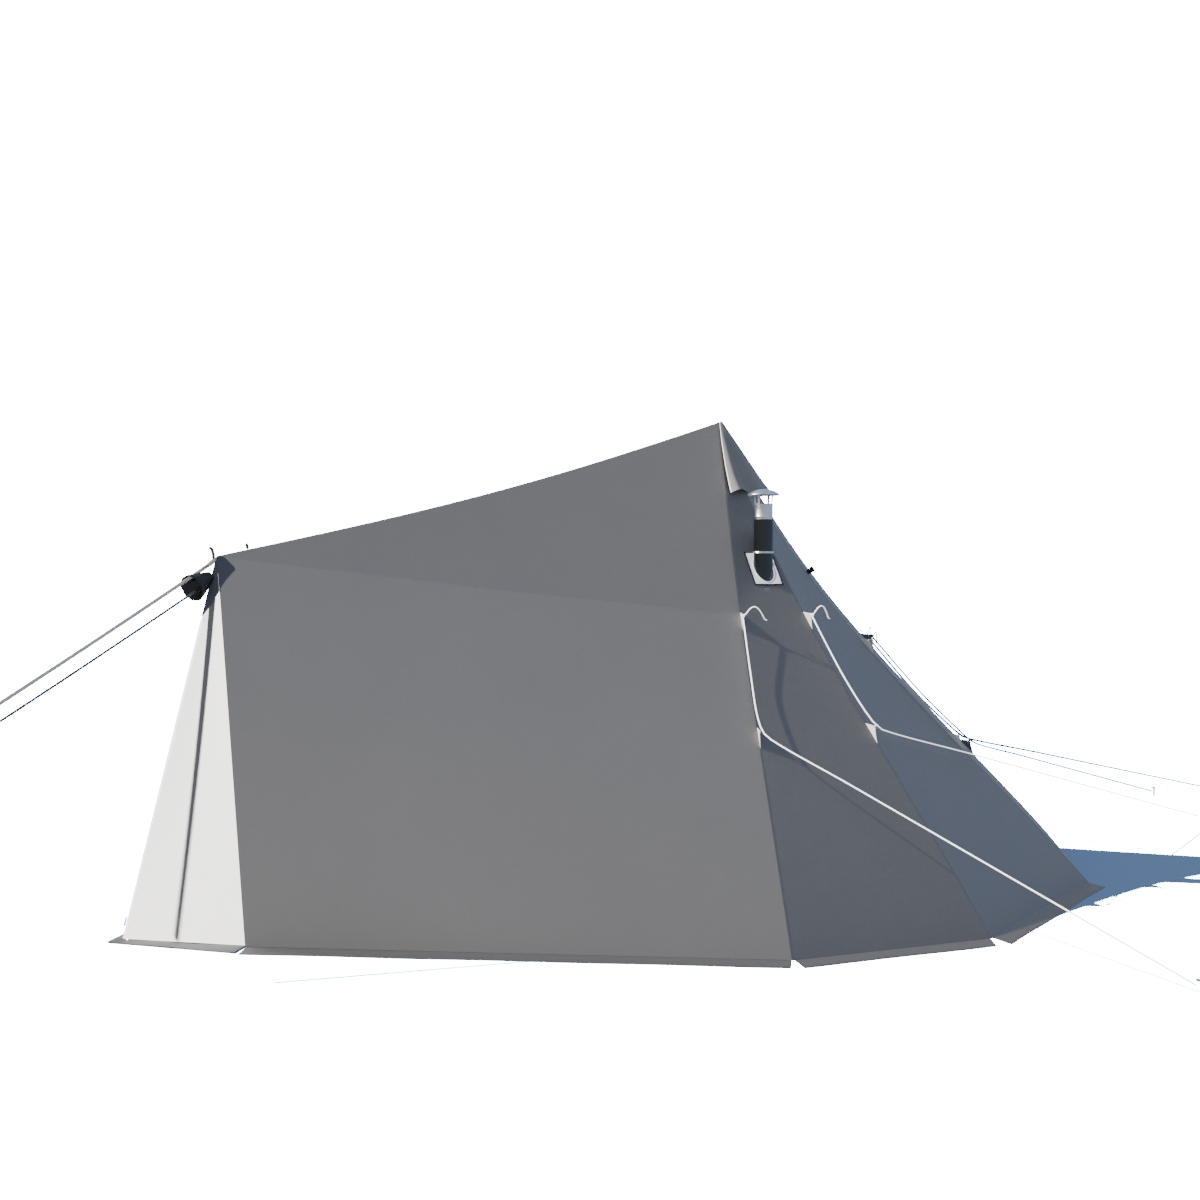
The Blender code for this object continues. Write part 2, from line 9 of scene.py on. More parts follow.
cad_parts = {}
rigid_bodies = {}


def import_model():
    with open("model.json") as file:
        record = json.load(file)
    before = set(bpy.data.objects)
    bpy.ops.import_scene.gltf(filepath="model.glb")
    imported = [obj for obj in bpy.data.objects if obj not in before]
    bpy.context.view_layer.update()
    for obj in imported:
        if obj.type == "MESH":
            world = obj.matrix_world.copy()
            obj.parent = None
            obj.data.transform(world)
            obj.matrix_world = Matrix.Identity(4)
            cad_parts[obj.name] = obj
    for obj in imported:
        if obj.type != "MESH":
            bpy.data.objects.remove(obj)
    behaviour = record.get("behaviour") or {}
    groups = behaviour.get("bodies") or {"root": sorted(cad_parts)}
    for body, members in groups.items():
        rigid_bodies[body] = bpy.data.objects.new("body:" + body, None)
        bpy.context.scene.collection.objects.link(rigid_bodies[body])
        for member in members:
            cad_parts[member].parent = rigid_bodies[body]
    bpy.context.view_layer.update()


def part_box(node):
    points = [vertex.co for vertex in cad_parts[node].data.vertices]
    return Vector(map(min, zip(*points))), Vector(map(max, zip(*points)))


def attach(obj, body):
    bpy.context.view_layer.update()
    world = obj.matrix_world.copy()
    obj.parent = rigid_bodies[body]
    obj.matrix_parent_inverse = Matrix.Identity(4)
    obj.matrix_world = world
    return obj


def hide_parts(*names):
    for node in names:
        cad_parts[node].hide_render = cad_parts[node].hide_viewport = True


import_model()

# ------------------------------------------------------------------ camera
cam_data = bpy.data.cameras.new("camera")
cam = bpy.data.objects.new("camera", cam_data)
bpy.context.scene.collection.objects.link(cam)
cam.location = (5.0943, -4.0344, 1.6119)
cam.rotation_mode = "QUATERNION"
cam.rotation_quaternion = Vector((-0.84417, 0.53494, -0.03488)).to_track_quat("-Z", "Y")
cam_data.sensor_width = 36
cam_data.lens = 33.90
cam_data.clip_end = 200
bpy.context.scene.camera = cam

# ------------------------------------------------------------------ sizes shared with the solids
HEIGHT, RADIUS = 2.40, 1.96
CORNERS = (60.5, 88.0, 122.0, 151.0, 180.0)
HOLLOW = (0.15, 0.13, 0.19, 0.17, 0.17)
EAVE_Z = 1.341
FRONT_TOP = Vector((0.0, -2.797, 1.632))
FRONT_FOOT = Vector((0.362, -2.790, 0.0))
PROW = Vector((0.0, -3.205, 0.0))
RIDGE_SAG = 0.049
PIPE_AT = (0.516, -0.113)
SIDES = ((1, "right"), (-1, "left"))
FACETS = ("front", "middle", "rear", "back")


def lerp(a, b, t):
    return a + (b - a) * t


def corner(k, z, side=1):
    s = max(0.0, min(1.0, z / HEIGHT))
    r = RADIUS * (1 - s) - HOLLOW[k] * math.sin(math.pi * s**1.3)
    a = math.radians(CORNERS[k])
    return Vector((side * r * math.sin(a), -r * math.cos(a), z))


def ridge(t):
    p = lerp(FRONT_TOP, Vector((0, 0, HEIGHT)), t)
    p.z -= RIDGE_SAG * math.sin(math.pi * t)
    return p


def seam(t, side=1):
    p = lerp(FRONT_TOP, corner(0, EAVE_Z), t)
    p.z -= 0.010 * math.sin(math.pi * t)
    return Vector((side * p.x, p.y, p.z))


def roof_point(u, v, side=1):
    top, low = ridge(u), seam(u, side)
    edge = corner(0, lerp(HEIGHT, EAVE_Z, v), side)
    bow = edge - lerp(Vector((0, 0, HEIGHT)), seam(1, side), v)
    p = lerp(top, low, v) + bow * u**3
    across = math.sin(math.pi * v) * math.sin(math.pi * min(1.0, u))
    p += Vector((-side * 0.5, 0, -0.8)) * 0.012 * across
    return p


def foot(side=1):
    return Vector((side * FRONT_FOOT.x, FRONT_FOOT.y, 0.0))


def wall_point(u, v, side=1):
    top = seam(u, side)
    low = lerp(foot(side), corner(0, 0.0, side), u)
    edge = corner(0, lerp(EAVE_Z, 0.0, v), side)
    bow = edge - lerp(seam(1, side), corner(0, 0.0, side), v)
    p = lerp(top, low, v) + bow * u**2
    p += Vector((-side * 0.79, 0.58, 0)) * 0.014 * math.sin(math.pi * u) * math.sin(math.pi * v)
    return p


def facet_point(k, u, z, side=1):
    p = lerp(corner(k, z, side), corner(k + 1, z, side), u)
    s = z / HEIGHT
    d = Vector((-p.x, -p.y, 0))
    if d.length > 1e-6:
        p = p + d.normalized() * 0.003 * math.sin(math.pi * u) * math.sin(math.pi * s**0.9)
    return p


def door_point(u, z, side=1):
    t = z / FRONT_TOP.z
    hinge_line = lerp(foot(side), FRONT_TOP, t)
    zip_line = lerp(PROW, FRONT_TOP, t)
    p = lerp(hinge_line, zip_line, u)
    return p


# ------------------------------------------------------------------ materials
def new_mat(name, rough=0.85, metal=0.0):
    mat = bpy.data.materials.new(name)
    mat.use_nodes = True
    nt = mat.node_tree
    sh = nt.nodes["Principled BSDF"]
    sh.inputs["Roughness"].default_value = rough
    sh.inputs["Metallic"].default_value = metal
    return mat, nt, sh


def node(nt, kind, **sets):
    n = nt.nodes.new(kind)
    for k, v in sets.items():
        if k in n.inputs:
            n.inputs[k].default_value = v
        else:
            setattr(n, k, v)
    return n


def ramp(nt, fac, stops):
    r = nt.nodes.new("ShaderNodeValToRGB")
    e = r.color_ramp.elements
    while len(e) < len(stops):
        e.new(0.5)
    for el, (pos, col) in zip(e, stops):
        el.position = pos
        el.color = (*col, 1)
    nt.links.new(fac, r.inputs["Fac"])
    return r


def math_node(nt, op, a, b=None):
    n = nt.nodes.new("ShaderNodeMath")
    n.operation = op
    for i, x in enumerate((a, b)):
        if x is None:
            continue
        if isinstance(x, (int, float)):
            n.inputs[i].default_value = x
        else:
            nt.links.new(x, n.inputs[i])
    return n.outputs[0]


def shade(c, f):
    return tuple(min(1.0, x * f) for x in c)


def cloth(name, colour, rough=0.85, thread=0.0016, sheen=0.15, vary=0.05, weave=0.25, creases=0.35):
    """Plain-weave tent cloth: threads from the panel's own metre grid, soft creases, faint mottling."""
    mat, nt, sh = new_mat(name, rough)
    uv = node(nt, "ShaderNodeUVMap")
    obj = node(nt, "ShaderNodeTexCoord")
    big = node(nt, "ShaderNodeTexNoise", Scale=1.3, Detail=5.0, Roughness=0.6)
    nt.links.new(obj.outputs["Object"], big.inputs["Vector"])
    fine = node(nt, "ShaderNodeTexNoise", Scale=60.0, Detail=4.0, Roughness=0.7)
    nt.links.new(obj.outputs["Object"], fine.inputs["Vector"])
    sep = node(nt, "ShaderNodeSeparateXYZ")
    nt.links.new(uv.outputs["UV"], sep.inputs[0])
    threads = []
    for axis in (0, 1):
        w = math_node(nt, "MULTIPLY", sep.outputs[axis], 2 * math.pi / thread)
        w = math_node(nt, "SINE", w)
        threads.append(w)
    weave_h = math_node(nt, "MULTIPLY", threads[0], threads[1])
    weave_h = math_node(nt, "MULTIPLY_ADD", weave_h, 0.5)
    # every fortieth thread is heavier, as in ripstop cloth
    grids = []
    for axis in (0, 1):
        g = math_node(nt, "MULTIPLY", sep.outputs[axis], 1.0 / 0.009)
        g = math_node(nt, "FRACT", g)
        grids.append(math_node(nt, "LESS_THAN", g, 0.12))
    rip = math_node(nt, "MAXIMUM", grids[0], grids[1])
    mix = math_node(nt, "MULTIPLY", fine.outputs["Fac"], 0.35)
    mix = math_node(nt, "ADD", mix, math_node(nt, "MULTIPLY", big.outputs["Fac"], 0.65))
    tone = math_node(nt, "ADD", mix, math_node(nt, "MULTIPLY", rip, 0.05))
    cr = ramp(nt, tone, [(0.30, shade(colour, 1 - vary)), (0.70, shade(colour, 1 + vary))])
    nt.links.new(cr.outputs["Color"], sh.inputs["Base Color"])
    rr = ramp(nt, big.outputs["Fac"], [(0.3, (rough - 0.06,) * 3), (0.7, (min(1, rough + 0.06),) * 3)])
    nt.links.new(rr.outputs["Color"], sh.inputs["Roughness"])
    sh.inputs["Sheen Weight"].default_value = sheen
    sh.inputs["Sheen Roughness"].default_value = 0.5
    sh.inputs["Specular IOR Level"].default_value = 0.3
    crease = node(nt, "ShaderNodeTexNoise", Scale=4.0, Detail=3.0, Roughness=0.5, Distortion=0.6)
    nt.links.new(obj.outputs["Object"], crease.inputs["Vector"])
    b1 = node(nt, "ShaderNodeBump", Strength=creases, Distance=0.004)
    nt.links.new(crease.outputs["Fac"], b1.inputs["Height"])
    b2 = node(nt, "ShaderNodeBump", Strength=weave, Distance=0.0003)
    total = math_node(nt, "ADD", weave_h, math_node(nt, "MULTIPLY", rip, 0.8))
    nt.links.new(total, b2.inputs["Height"])
    nt.links.new(b1.outputs["Normal"], b2.inputs["Normal"])
    nt.links.new(b2.outputs["Normal"], sh.inputs["Normal"])
    return mat


def tape(name, colour, stitch, rough=0.8):
    """Binding tape: ribbed across, a row of stitches along each edge. u runs 0 to 1 across."""
    mat, nt, sh = new_mat(name, rough)
    uv = node(nt, "ShaderNodeUVMap")
    sep = node(nt, "ShaderNodeSeparateXYZ")
    nt.links.new(uv.outputs["UV"], sep.inputs[0])
    dash = math_node(nt, "FRACT", math_node(nt, "MULTIPLY", sep.outputs[1], 1 / 0.0055))
    dash = math_node(nt, "LESS_THAN", dash, 0.68)
    a = math_node(nt, "ABSOLUTE", math_node(nt, "SUBTRACT", sep.outputs[0], 0.16))
    b = math_node(nt, "ABSOLUTE", math_node(nt, "SUBTRACT", sep.outputs[0], 0.84))
    near = math_node(nt, "LESS_THAN", math_node(nt, "MINIMUM", a, b), 0.035)
    on = math_node(nt, "MULTIPLY", dash, near)
    noise = node(nt, "ShaderNodeTexNoise", Scale=35.0, Detail=3.0)
    cr = ramp(nt, noise.outputs["Fac"], [(0.3, shade(colour, 0.93)), (0.7, shade(colour, 1.07))])
    mix = node(nt, "ShaderNodeMix", data_type="RGBA")
    nt.links.new(on, mix.inputs[0])
    nt.links.new(cr.outputs["Color"], mix.inputs[6])
    mix.inputs[7].default_value = (*stitch, 1)
    nt.links.new(mix.outputs[2], sh.inputs["Base Color"])
    rib = math_node(nt, "SINE", math_node(nt, "MULTIPLY", sep.outputs[1], 2 * math.pi / 0.0022))
    h = math_node(nt, "ADD", math_node(nt, "MULTIPLY", rib, 0.3), on)
    bump = node(nt, "ShaderNodeBump", Strength=0.5, Distance=0.0004)
    nt.links.new(h, bump.inputs["Height"])
    nt.links.new(bump.outputs["Normal"], sh.inputs["Normal"])
    return mat


def braid(name, colour, pitch=0.012, rough=0.75):
    """Braided rope: two families of strands that wind opposite ways. u round, v along in metres."""
    mat, nt, sh = new_mat(name, rough)
    uv = node(nt, "ShaderNodeUVMap")
    sep = node(nt, "ShaderNodeSeparateXYZ")
    nt.links.new(uv.outputs["UV"], sep.inputs[0])
    turn = math_node(nt, "MULTIPLY", sep.outputs[0], 8 * math.pi)
    run = math_node(nt, "MULTIPLY", sep.outputs[1], 2 * math.pi / pitch)
    s1 = math_node(nt, "SINE", math_node(nt, "ADD", turn, run))
    s2 = math_node(nt, "SINE", math_node(nt, "SUBTRACT", turn, run))
    h = math_node(nt, "MAXIMUM", s1, s2)
    fuzz = node(nt, "ShaderNodeTexNoise", Scale=250.0, Detail=3.0)
    # the colour is darker where the strands dip: painted shade in the grooves between strands, on top of random fuzz
    tone = math_node(nt, "ADD", math_node(nt, "MULTIPLY", h, 0.18), fuzz.outputs["Fac"])
    cr = ramp(nt, tone, [(0.25, shade(colour, 0.72)), (0.75, shade(colour, 1.08))])
    nt.links.new(cr.outputs["Color"], sh.inputs["Base Color"])
    bump = node(nt, "ShaderNodeBump", Strength=0.6, Distance=0.001)
    nt.links.new(h, bump.inputs["Height"])
    nt.links.new(bump.outputs["Normal"], sh.inputs["Normal"])
    sh.inputs["Sheen Weight"].default_value = 0.2
    return mat


def brushed(name, colour, rough=0.3, metal=1.0, stretch=(2, 2, 300), vary=0.12, bump_s=0.15):
    """Rolled or painted metal with a fine directional grain and faint marks."""
    mat, nt, sh = new_mat(name, rough, metal)
    obj = node(nt, "ShaderNodeTexCoord")
    mp = node(nt, "ShaderNodeMapping")
    mp.inputs["Scale"].default_value = stretch
    nt.links.new(obj.outputs["Object"], mp.inputs["Vector"])
    grain = node(nt, "ShaderNodeTexNoise", Scale=1.0, Detail=6.0, Roughness=0.7)
    nt.links.new(mp.outputs["Vector"], grain.inputs["Vector"])
    spots = node(nt, "ShaderNodeTexNoise", Scale=18.0, Detail=4.0)
    nt.links.new(obj.outputs["Object"], spots.inputs["Vector"])
    tone = math_node(nt, "ADD", math_node(nt, "MULTIPLY", grain.outputs["Fac"], 0.6),
                     math_node(nt, "MULTIPLY", spots.outputs["Fac"], 0.4))
    cr = ramp(nt, tone, [(0.3, shade(colour, 1 - vary)), (0.7, shade(colour, 1 + vary))])
    nt.links.new(cr.outputs["Color"], sh.inputs["Base Color"])
    rr = ramp(nt, spots.outputs["Fac"], [(0.35, (max(0.05, rough - 0.08),) * 3), (0.65, (rough + 0.10,) * 3)])
    nt.links.new(rr.outputs["Color"], sh.inputs["Roughness"])
    bump = node(nt, "ShaderNodeBump", Strength=bump_s, Distance=0.0003)
    nt.links.new(grain.outputs["Fac"], bump.inputs["Height"])
    nt.links.new(bump.outputs["Normal"], sh.inputs["Normal"])
    return mat


M_FRONT = cloth("canopy_front_cloth", (0.215, 0.208, 0.203))
M_ROOF = cloth("canopy_roof_cloth", (0.197, 0.190, 0.184))
M_BACK = cloth("canopy_back_cloth", (0.203, 0.199, 0.204))
# the front facets' cloth is a darker, bluer copy of the same canopy cloth: painted shade
M_SIDE_SHADE = cloth("canopy_side_cloth_painted_shade", (0.155, 0.158, 0.166))
M_DOOR = cloth("door_cloth", (0.215, 0.210, 0.206), vary=0.03)
M_FLAP = cloth("flap_cloth", (0.205, 0.194, 0.184), thread=0.0020, creases=0.5)
# dark bluish reinforcing cloth: its dark blue is painted shade, the colour of the front peak pieces under the roof's
# shadow
M_HOOD_SHADE = cloth("reinforcing_cloth_painted_shade", (0.098, 0.104, 0.122), thread=0.0022, weave=0.5)
M_PATCH = cloth("tie_out_cloth", (0.50, 0.49, 0.46), thread=0.0018, weave=0.4)
M_JACK = cloth("heat_cloth", (0.86, 0.885, 0.92), rough=0.55, thread=0.0024, weave=0.6, sheen=0.05)
M_TAPE = tape("seam_tape", (0.190, 0.189, 0.190), (0.30, 0.30, 0.30))
# dark binding round the stove jack; its darkness is the binding's own, its blue tint is painted shade
M_EDGE_SHADE = tape("dark_binding_painted_shade", (0.022, 0.030, 0.045), (0.10, 0.11, 0.13))
# near-white binding for the apex hood's edges: its whiteness is a painted highlight of the sunlit edge
M_HIGHLIGHT_WHITE = tape("pale_binding_painted_highlight", (0.80, 0.80, 0.80), (0.62, 0.62, 0.62))
M_ZIP = tape("zip_tape", (0.19, 0.188, 0.185), (0.10, 0.10, 0.10))
M_COIL = brushed("zip_coil", (0.20, 0.20, 0.20), 0.5, 0.0, stretch=(90, 90, 90))
# dark copy of the tie-out cloth for the rear and back corners: painted shade
M_SHADED_TIE = cloth("dark_tie_out_cloth", (0.075, 0.082, 0.095), thread=0.0018, weave=0.4)
M_ROPE = braid("guy_rope", (0.80, 0.80, 0.80))
# dark copy of the guy rope: on the rear and back corners its darkness is painted shade; the front light line uses it
# too
M_DARK_SHADED_ROPE = braid("dark_guy_rope_painted_shade", (0.070, 0.066, 0.061))
M_GREYROPE = braid("grey_guy_rope", (0.10, 0.097, 0.093))
M_THICK = braid("thick_rope", (0.46, 0.43, 0.40), pitch=0.026)
M_STEEL = brushed("pipe_steel", (0.70, 0.71, 0.72), 0.28, 1.0, stretch=(2, 2, 260))
M_BLACK = brushed("pipe_black", (0.030, 0.033, 0.037), 0.48, 0.0, stretch=(60, 60, 8), bump_s=0.3)
M_PLASTIC = brushed("black_plastic", (0.012, 0.012, 0.013), 0.38, 0.0, stretch=(90, 90, 90), bump_s=0.4)
M_ALLOY = brushed("pole_alloy", (0.55, 0.56, 0.58), 0.32, 1.0, stretch=(160, 160, 3))
M_PEG = brushed("peg_steel", (0.48, 0.49, 0.50), 0.4, 1.0, stretch=(80, 80, 10), vary=0.25)


# ------------------------------------------------------------------ mesh helpers
coll = bpy.data.collections.new("looks")
bpy.context.scene.collection.children.link(coll)


def put(name, bm, mat, smooth=True, angle=40):
    mesh = bpy.data.meshes.new(name)
    bm.normal_update()
    bm.to_mesh(mesh)
    bm.free()
    if smooth:
        mesh.shade_smooth()
        mesh.set_sharp_from_angle(angle=math.radians(angle))
    obj = bpy.data.objects.new(name, mesh)
    obj.data.materials.append(mat)
    coll.objects.link(obj)
    return obj


def grid_mesh(name, grid, mat, outward, thick=0.0, angle=60, unit_u=False):
    """A sheet through a grid of points, with a metre grid as its UVs, and thickness behind it."""
    bm = bmesh.new()
    uv = bm.loops.layers.uv.new("UVMap")
    verts = [[bm.verts.new(p) for p in row] for row in grid]
    mid = len(grid[0]) // 2
    vs = [0.0]
    for r0, r1 in zip(grid, grid[1:]):
        vs.append(vs[-1] + (r1[mid] - r0[mid]).length)
    us = []
    for row in grid:
        run = [0.0]
        for a, b in zip(row, row[1:]):
            run.append(run[-1] + (b - a).length)
        centre = run[-1] / 2
        us.append([(x / max(run[-1], 1e-9)) if unit_u else x - centre for x in run])
    area = 0.0
    total = Vector()
    faces = []
    for j in range(len(grid) - 1):
        for i in range(len(grid[0]) - 1):
            q = [(j, i), (j, i + 1), (j + 1, i + 1), (j + 1, i)]
            pts = [grid[a][b] for a, b in q]
            keep = [n for n in range(4) if (pts[n] - pts[n - 1]).length > 1e-6]
            if len(keep) < 3:
                continue
            face = bm.faces.new([verts[q[n][0]][q[n][1]] for n in keep])
            for loop, n in zip(face.loops, keep):
                loop[uv].uv = (us[q[n][0]][q[n][1]], vs[q[n][0]])
            faces.append(face)
    bm.normal_update()
    for f in faces:
        area += f.calc_area()
        total += f.normal * f.calc_area()
    if total.dot(outward) < 0:
        bmesh.ops.reverse_faces(bm, faces=faces)
    loose = [v for v in bm.verts if not v.link_faces]
    bmesh.ops.delete(bm, geom=loose, context="VERTS")
    obj = put(name, bm, mat, True, angle)
    edge_bm = bmesh.new()
    edge_bm.from_mesh(obj.data)
    for e in edge_bm.edges:
        if len(e.link_faces) == 1:
            e.smooth = False
    edge_bm.to_mesh(obj.data)
    edge_bm.free()
    if thick:
        solid = obj.modifiers.new("thickness", "SOLIDIFY")
        solid.thickness = thick
        solid.offset = -1
    wide = max(sum((b - a).length for a, b in zip(r, r[1:])) for r in grid)
    cols = list(zip(*grid))
    long = max(sum((b - a).length for a, b in zip(c, c[1:])) for c in cols)
    return obj, wide, long, area


def steps(a, b, n):
    return [a + (b - a) * i / n for i in range(n + 1)]


def declare_sheet(wide, long, area):
    share = area / (wide * long)
    if share > 1.0:
        wide *= share * 1.002


def tube_along(name, pts, radius, mat, sides=10, caps=True):
    """A round tube through points, with UVs round and along, ends closed by small domes."""
    bm = bmesh.new()
    uv = bm.loops.layers.uv.new("UVMap")
    n = len(pts)
    rad = radius if callable(radius) else (lambda t: radius)
    tang = [(pts[min(i + 1, n - 1)] - pts[max(i - 1, 0)]).normalized() for i in range(n)]
    side = tang[0].orthogonal().normalized()
    rings, run = [], 0.0
    for i, p in enumerate(pts):
        if i:
            run += (p - pts[i - 1]).length
            side = (side - tang[i] * side.dot(tang[i])).normalized()
        up = tang[i].cross(side)
        r = rad(i / (n - 1))
        rings.append((run, [bm.verts.new(p + side * r * math.cos(w) + up * r * math.sin(w))
                            for w in [2 * math.pi * j / sides for j in range(sides)]]))
    for (v0, a), (v1, b) in zip(rings, rings[1:]):
        for j in range(sides):
            k = (j + 1) % sides
            f = bm.faces.new((a[j], a[k], b[k], b[j]))
            for loop, c in zip(f.loops, ((j, v0), (j + 1, v0), (j + 1, v1), (j, v1))):
                loop[uv].uv = (c[0] / sides, c[1])
    if caps:
        for ring, tip in ((rings[0][1], pts[0] - tang[0] * rad(0) * 0.6), (rings[-1][1], pts[-1] + tang[-1] * rad(1) * 0.6)):
            v = bm.verts.new(tip)
            for j in range(sides):
                bm.faces.new((ring[j], ring[(j + 1) % sides], v))
    bmesh.ops.recalc_face_normals(bm, faces=bm.faces)
    return put(name, bm, mat, True, 60)


def lathe(name, profile, at, mat, seg=56, angle=35):
    """Turns a closed or axis-to-axis profile of (radius, height) round a vertical line."""
    bm = bmesh.new()
    rings = []
    for r, z in profile:
        if r < 1e-6:
            rings.append([bm.verts.new((at[0], at[1], z))])
        else:
            rings.append([bm.verts.new((at[0] + r * math.cos(w), at[1] + r * math.sin(w), z))
                          for w in [2 * math.pi * j / seg for j in range(seg)]])
    for a, b in zip(rings, rings[1:]):
        for j in range(seg):
            k = (j + 1) % seg
            if len(a) == 1:
                bm.faces.new((a[0], b[k], b[j]))
            elif len(b) == 1:
                bm.faces.new((a[j], a[k], b[0]))
            else:
                bm.faces.new((a[j], a[k], b[k], b[j]))
    bmesh.ops.remove_doubles(bm, verts=bm.verts, dist=1e-6)
    bmesh.ops.recalc_face_normals(bm, faces=bm.faces)
    return put(name, bm, mat, True, angle)


def strip(name, line, toward_a, toward_b, mat, half=0.0050, lift=0.0004):
    """A felled seam folded over a seam line; toward_a and toward_b lie on the cloth each side."""
    grid = []
    for i, (p, a, b) in enumerate(zip(line, toward_a, toward_b)):
        along = (line[min(i + 1, len(line) - 1)] - line[max(i - 1, 0)]).normalized()
        da, db = a - p, b - p
        da = da - along * da.dot(along)
        db = db - along * db.dot(along)
        da, db = da.normalized(), db.normalized()
        out = along.cross(db - da).normalized()
        if out.dot(p - Vector((0, -0.6, 0.6))) < 0:
            out = -out
        grid.append([p + da * half + out * 0.0002, p + da * half * 0.85 + out * lift,
                     p + out * lift * 1.5, p + db * half * 0.85 + out * lift,
                     p + db * half + out * 0.0002])
    obj, *_ = grid_mesh(name, grid, mat, Vector((0, 0, 0)), 0.0, 60, unit_u=True)
    return obj


# ------------------------------------------------------------------ canopy
WAIST = Vector((0, -0.5, 0.6))
for side, word in SIDES:
    rows = [[roof_point(u, v, side) for v in steps(0, 1, 14)] for u in steps(0, 1, 34)]
    obj, w, l, a = grid_mesh(f"roof_cloth_{word}", rows, M_ROOF, Vector((side, 0, 1)), 0.0010)
    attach(obj, "tent"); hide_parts(f"roof_panel_{word}")
    declare_sheet(w, l, a)

    rows = [[wall_point(u, v, side) for u in steps(0, 1, 26)] for v in steps(0, 0.9995, 20)]
    obj, w, l, a = grid_mesh(f"wall_cloth_{word}", rows, M_FRONT, Vector((side, -0.5, 0.2)), 0.0010)
    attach(obj, "tent"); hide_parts(f"wall_panel_{word}")
    declare_sheet(w, l, a)

    for k, place in enumerate(FACETS):
        rows = [[facet_point(k, u, z, side) for u in steps(0, 1, 12)] for z in steps(0.0006, HEIGHT, 48)]
        rows = rows[:-1] + [[Vector((0, 0, HEIGHT))] * 13]
        mid = corner(k, 0, side) + corner(k + 1, 0, side)
        # the front facets take the darker copy of the cloth, painted shade
        obj, w, l, a = grid_mesh(f"{place}_cloth_{word}", rows, M_SIDE_SHADE if place == "front" else M_BACK, mid, 0.0010)
        if place == "front" and side > 0:
            bore = lathe("jack_bore", [(0, 1.20), (0.0515, 1.20), (0.0515, 2.0), (0, 2.0)], PIPE_AT, M_BACK, 48)
            bore.hide_render = True
            mod = obj.modifiers.new("hole", "BOOLEAN")
            mod.operation = "DIFFERENCE"
            mod.object = bore
            bpy.context.view_layer.update()
            done = bpy.data.meshes.new_from_object(obj.evaluated_get(bpy.context.evaluated_depsgraph_get()))
            obj.modifiers.clear()
            obj.data = done
            bpy.data.objects.remove(bore, do_unlink=True)
        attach(obj, "tent"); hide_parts(f"{place}_facet_{word}")
        declare_sheet(w, l, a)

# seam tapes
n = 40
for side, word in SIDES:
    zs = steps(0.004, HEIGHT - 0.03, n)
    for k in range(0, 4):
        if k == 0:
            line = [corner(0, z, side) for z in steps(EAVE_Z, HEIGHT - 0.03, 22)]
            ta = [lerp(p, roof_point(0.97, (HEIGHT - p.z) / (HEIGHT - EAVE_Z), side), 1.0) for p in line]
            tb = [facet_point(0, 0.10, p.z, side) for p in line]
            obj = strip(f"corner_seam_0_upper_{word}", line, ta, tb, M_TAPE)
            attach(obj, "tent")
            line = [corner(0, z, side) for z in steps(0.004, EAVE_Z, 24)]
            ta = [wall_point(0.97, (EAVE_Z - p.z) / EAVE_Z, side) for p in line]
            tb = [facet_point(0, 0.10, p.z, side) for p in line]
            obj = strip(f"corner_seam_0_lower_{word}", line, ta, tb, M_TAPE)
        else:
            line = [corner(k, z, side) for z in zs]
            ta = [facet_point(k - 1, 0.92, z, side) for z in zs]
            tb = [facet_point(k, 0.08, z, side) for z in zs]
            obj = strip(f"corner_seam_{k}_{word}", line, ta, tb, M_TAPE)
        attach(obj, "tent")
    us = steps(0.02, 0.995, 36)
    line = [seam(u, side) for u in us]
    obj = strip(f"eave_seam_{word}", line, [roof_point(u, 0.96, side) for u in us],
                [wall_point(u, 0.03, side) for u in us], M_TAPE)
    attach(obj, "tent")
zs = steps(0.004, HEIGHT - 0.03, n)
obj = strip("corner_seam_back", [corner(4, z) for z in zs], [facet_point(3, 0.92, z) for z in zs],
            [facet_point(3, 0.92, z, -1) for z in zs], M_TAPE)
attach(obj, "tent")
us = steps(0.02, 0.985, 40)
obj = strip("ridge_seam", [ridge(u) for u in us], [roof_point(u, 0.04, 1) for u in us],
            [roof_point(u, 0.04, -1) for u in us], M_TAPE, 0.011)
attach(obj, "tent")

# ------------------------------------------------------------------ ground flaps
FLAP = 0.0905


def flap_sheet(name, body, a, b, outward, node_name, phase, ends):
    along = (b - a)
    out = Vector((outward.x, outward.y, 0))
    t = along.normalized()
    out = (out - t * out.dot(t)).normalized()
    n_u = max(12, int(along.length / 0.045))
    rows = []
    for v in steps(0, 1, 6):
        row = []
        for u in steps(0, 1, n_u):
            p = lerp(a, b, u)
            p = lerp(a + t * (0.006 - ends[0] * v), b - t * (0.006 + ends[1] * v), u) + out * (0.0030 + (FLAP - 0.0015) * v)
            wave = math.sin(u * along.length * 17 + phase) * 0.5 + math.sin(u * along.length * 41 + phase * 3) * 0.3
            p.z = 0.0008 + (0.0012 + 0.0008 * wave) * v
            p += out * 0.002 * math.sin(u * along.length * 9 + phase) * v
            row.append(p)
        rows.append(row)
    obj, w, l, area = grid_mesh(name, rows, M_FLAP, Vector((0, 0, 1)), 0.0010)
    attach(obj, body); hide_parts(node_name)
    declare_sheet(w, l, area)
    hem_rows = []
    last = rows[-1]
    for p in last:
        hem_rows.append([p - out * 0.010 + Vector((0, 0, 0.0004)), p - out * 0.005 + Vector((0, 0, 0.0012)),
                         p + Vector((0, 0, 0.0006)), p + out * 0.0008 - Vector((0, 0, 0.0006))])
    hem, *_ = grid_mesh(name + "_hem", hem_rows, M_TAPE_FLAP, Vector((0, 0, 1)), 0.0, 60, unit_u=True)
    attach(hem, body)


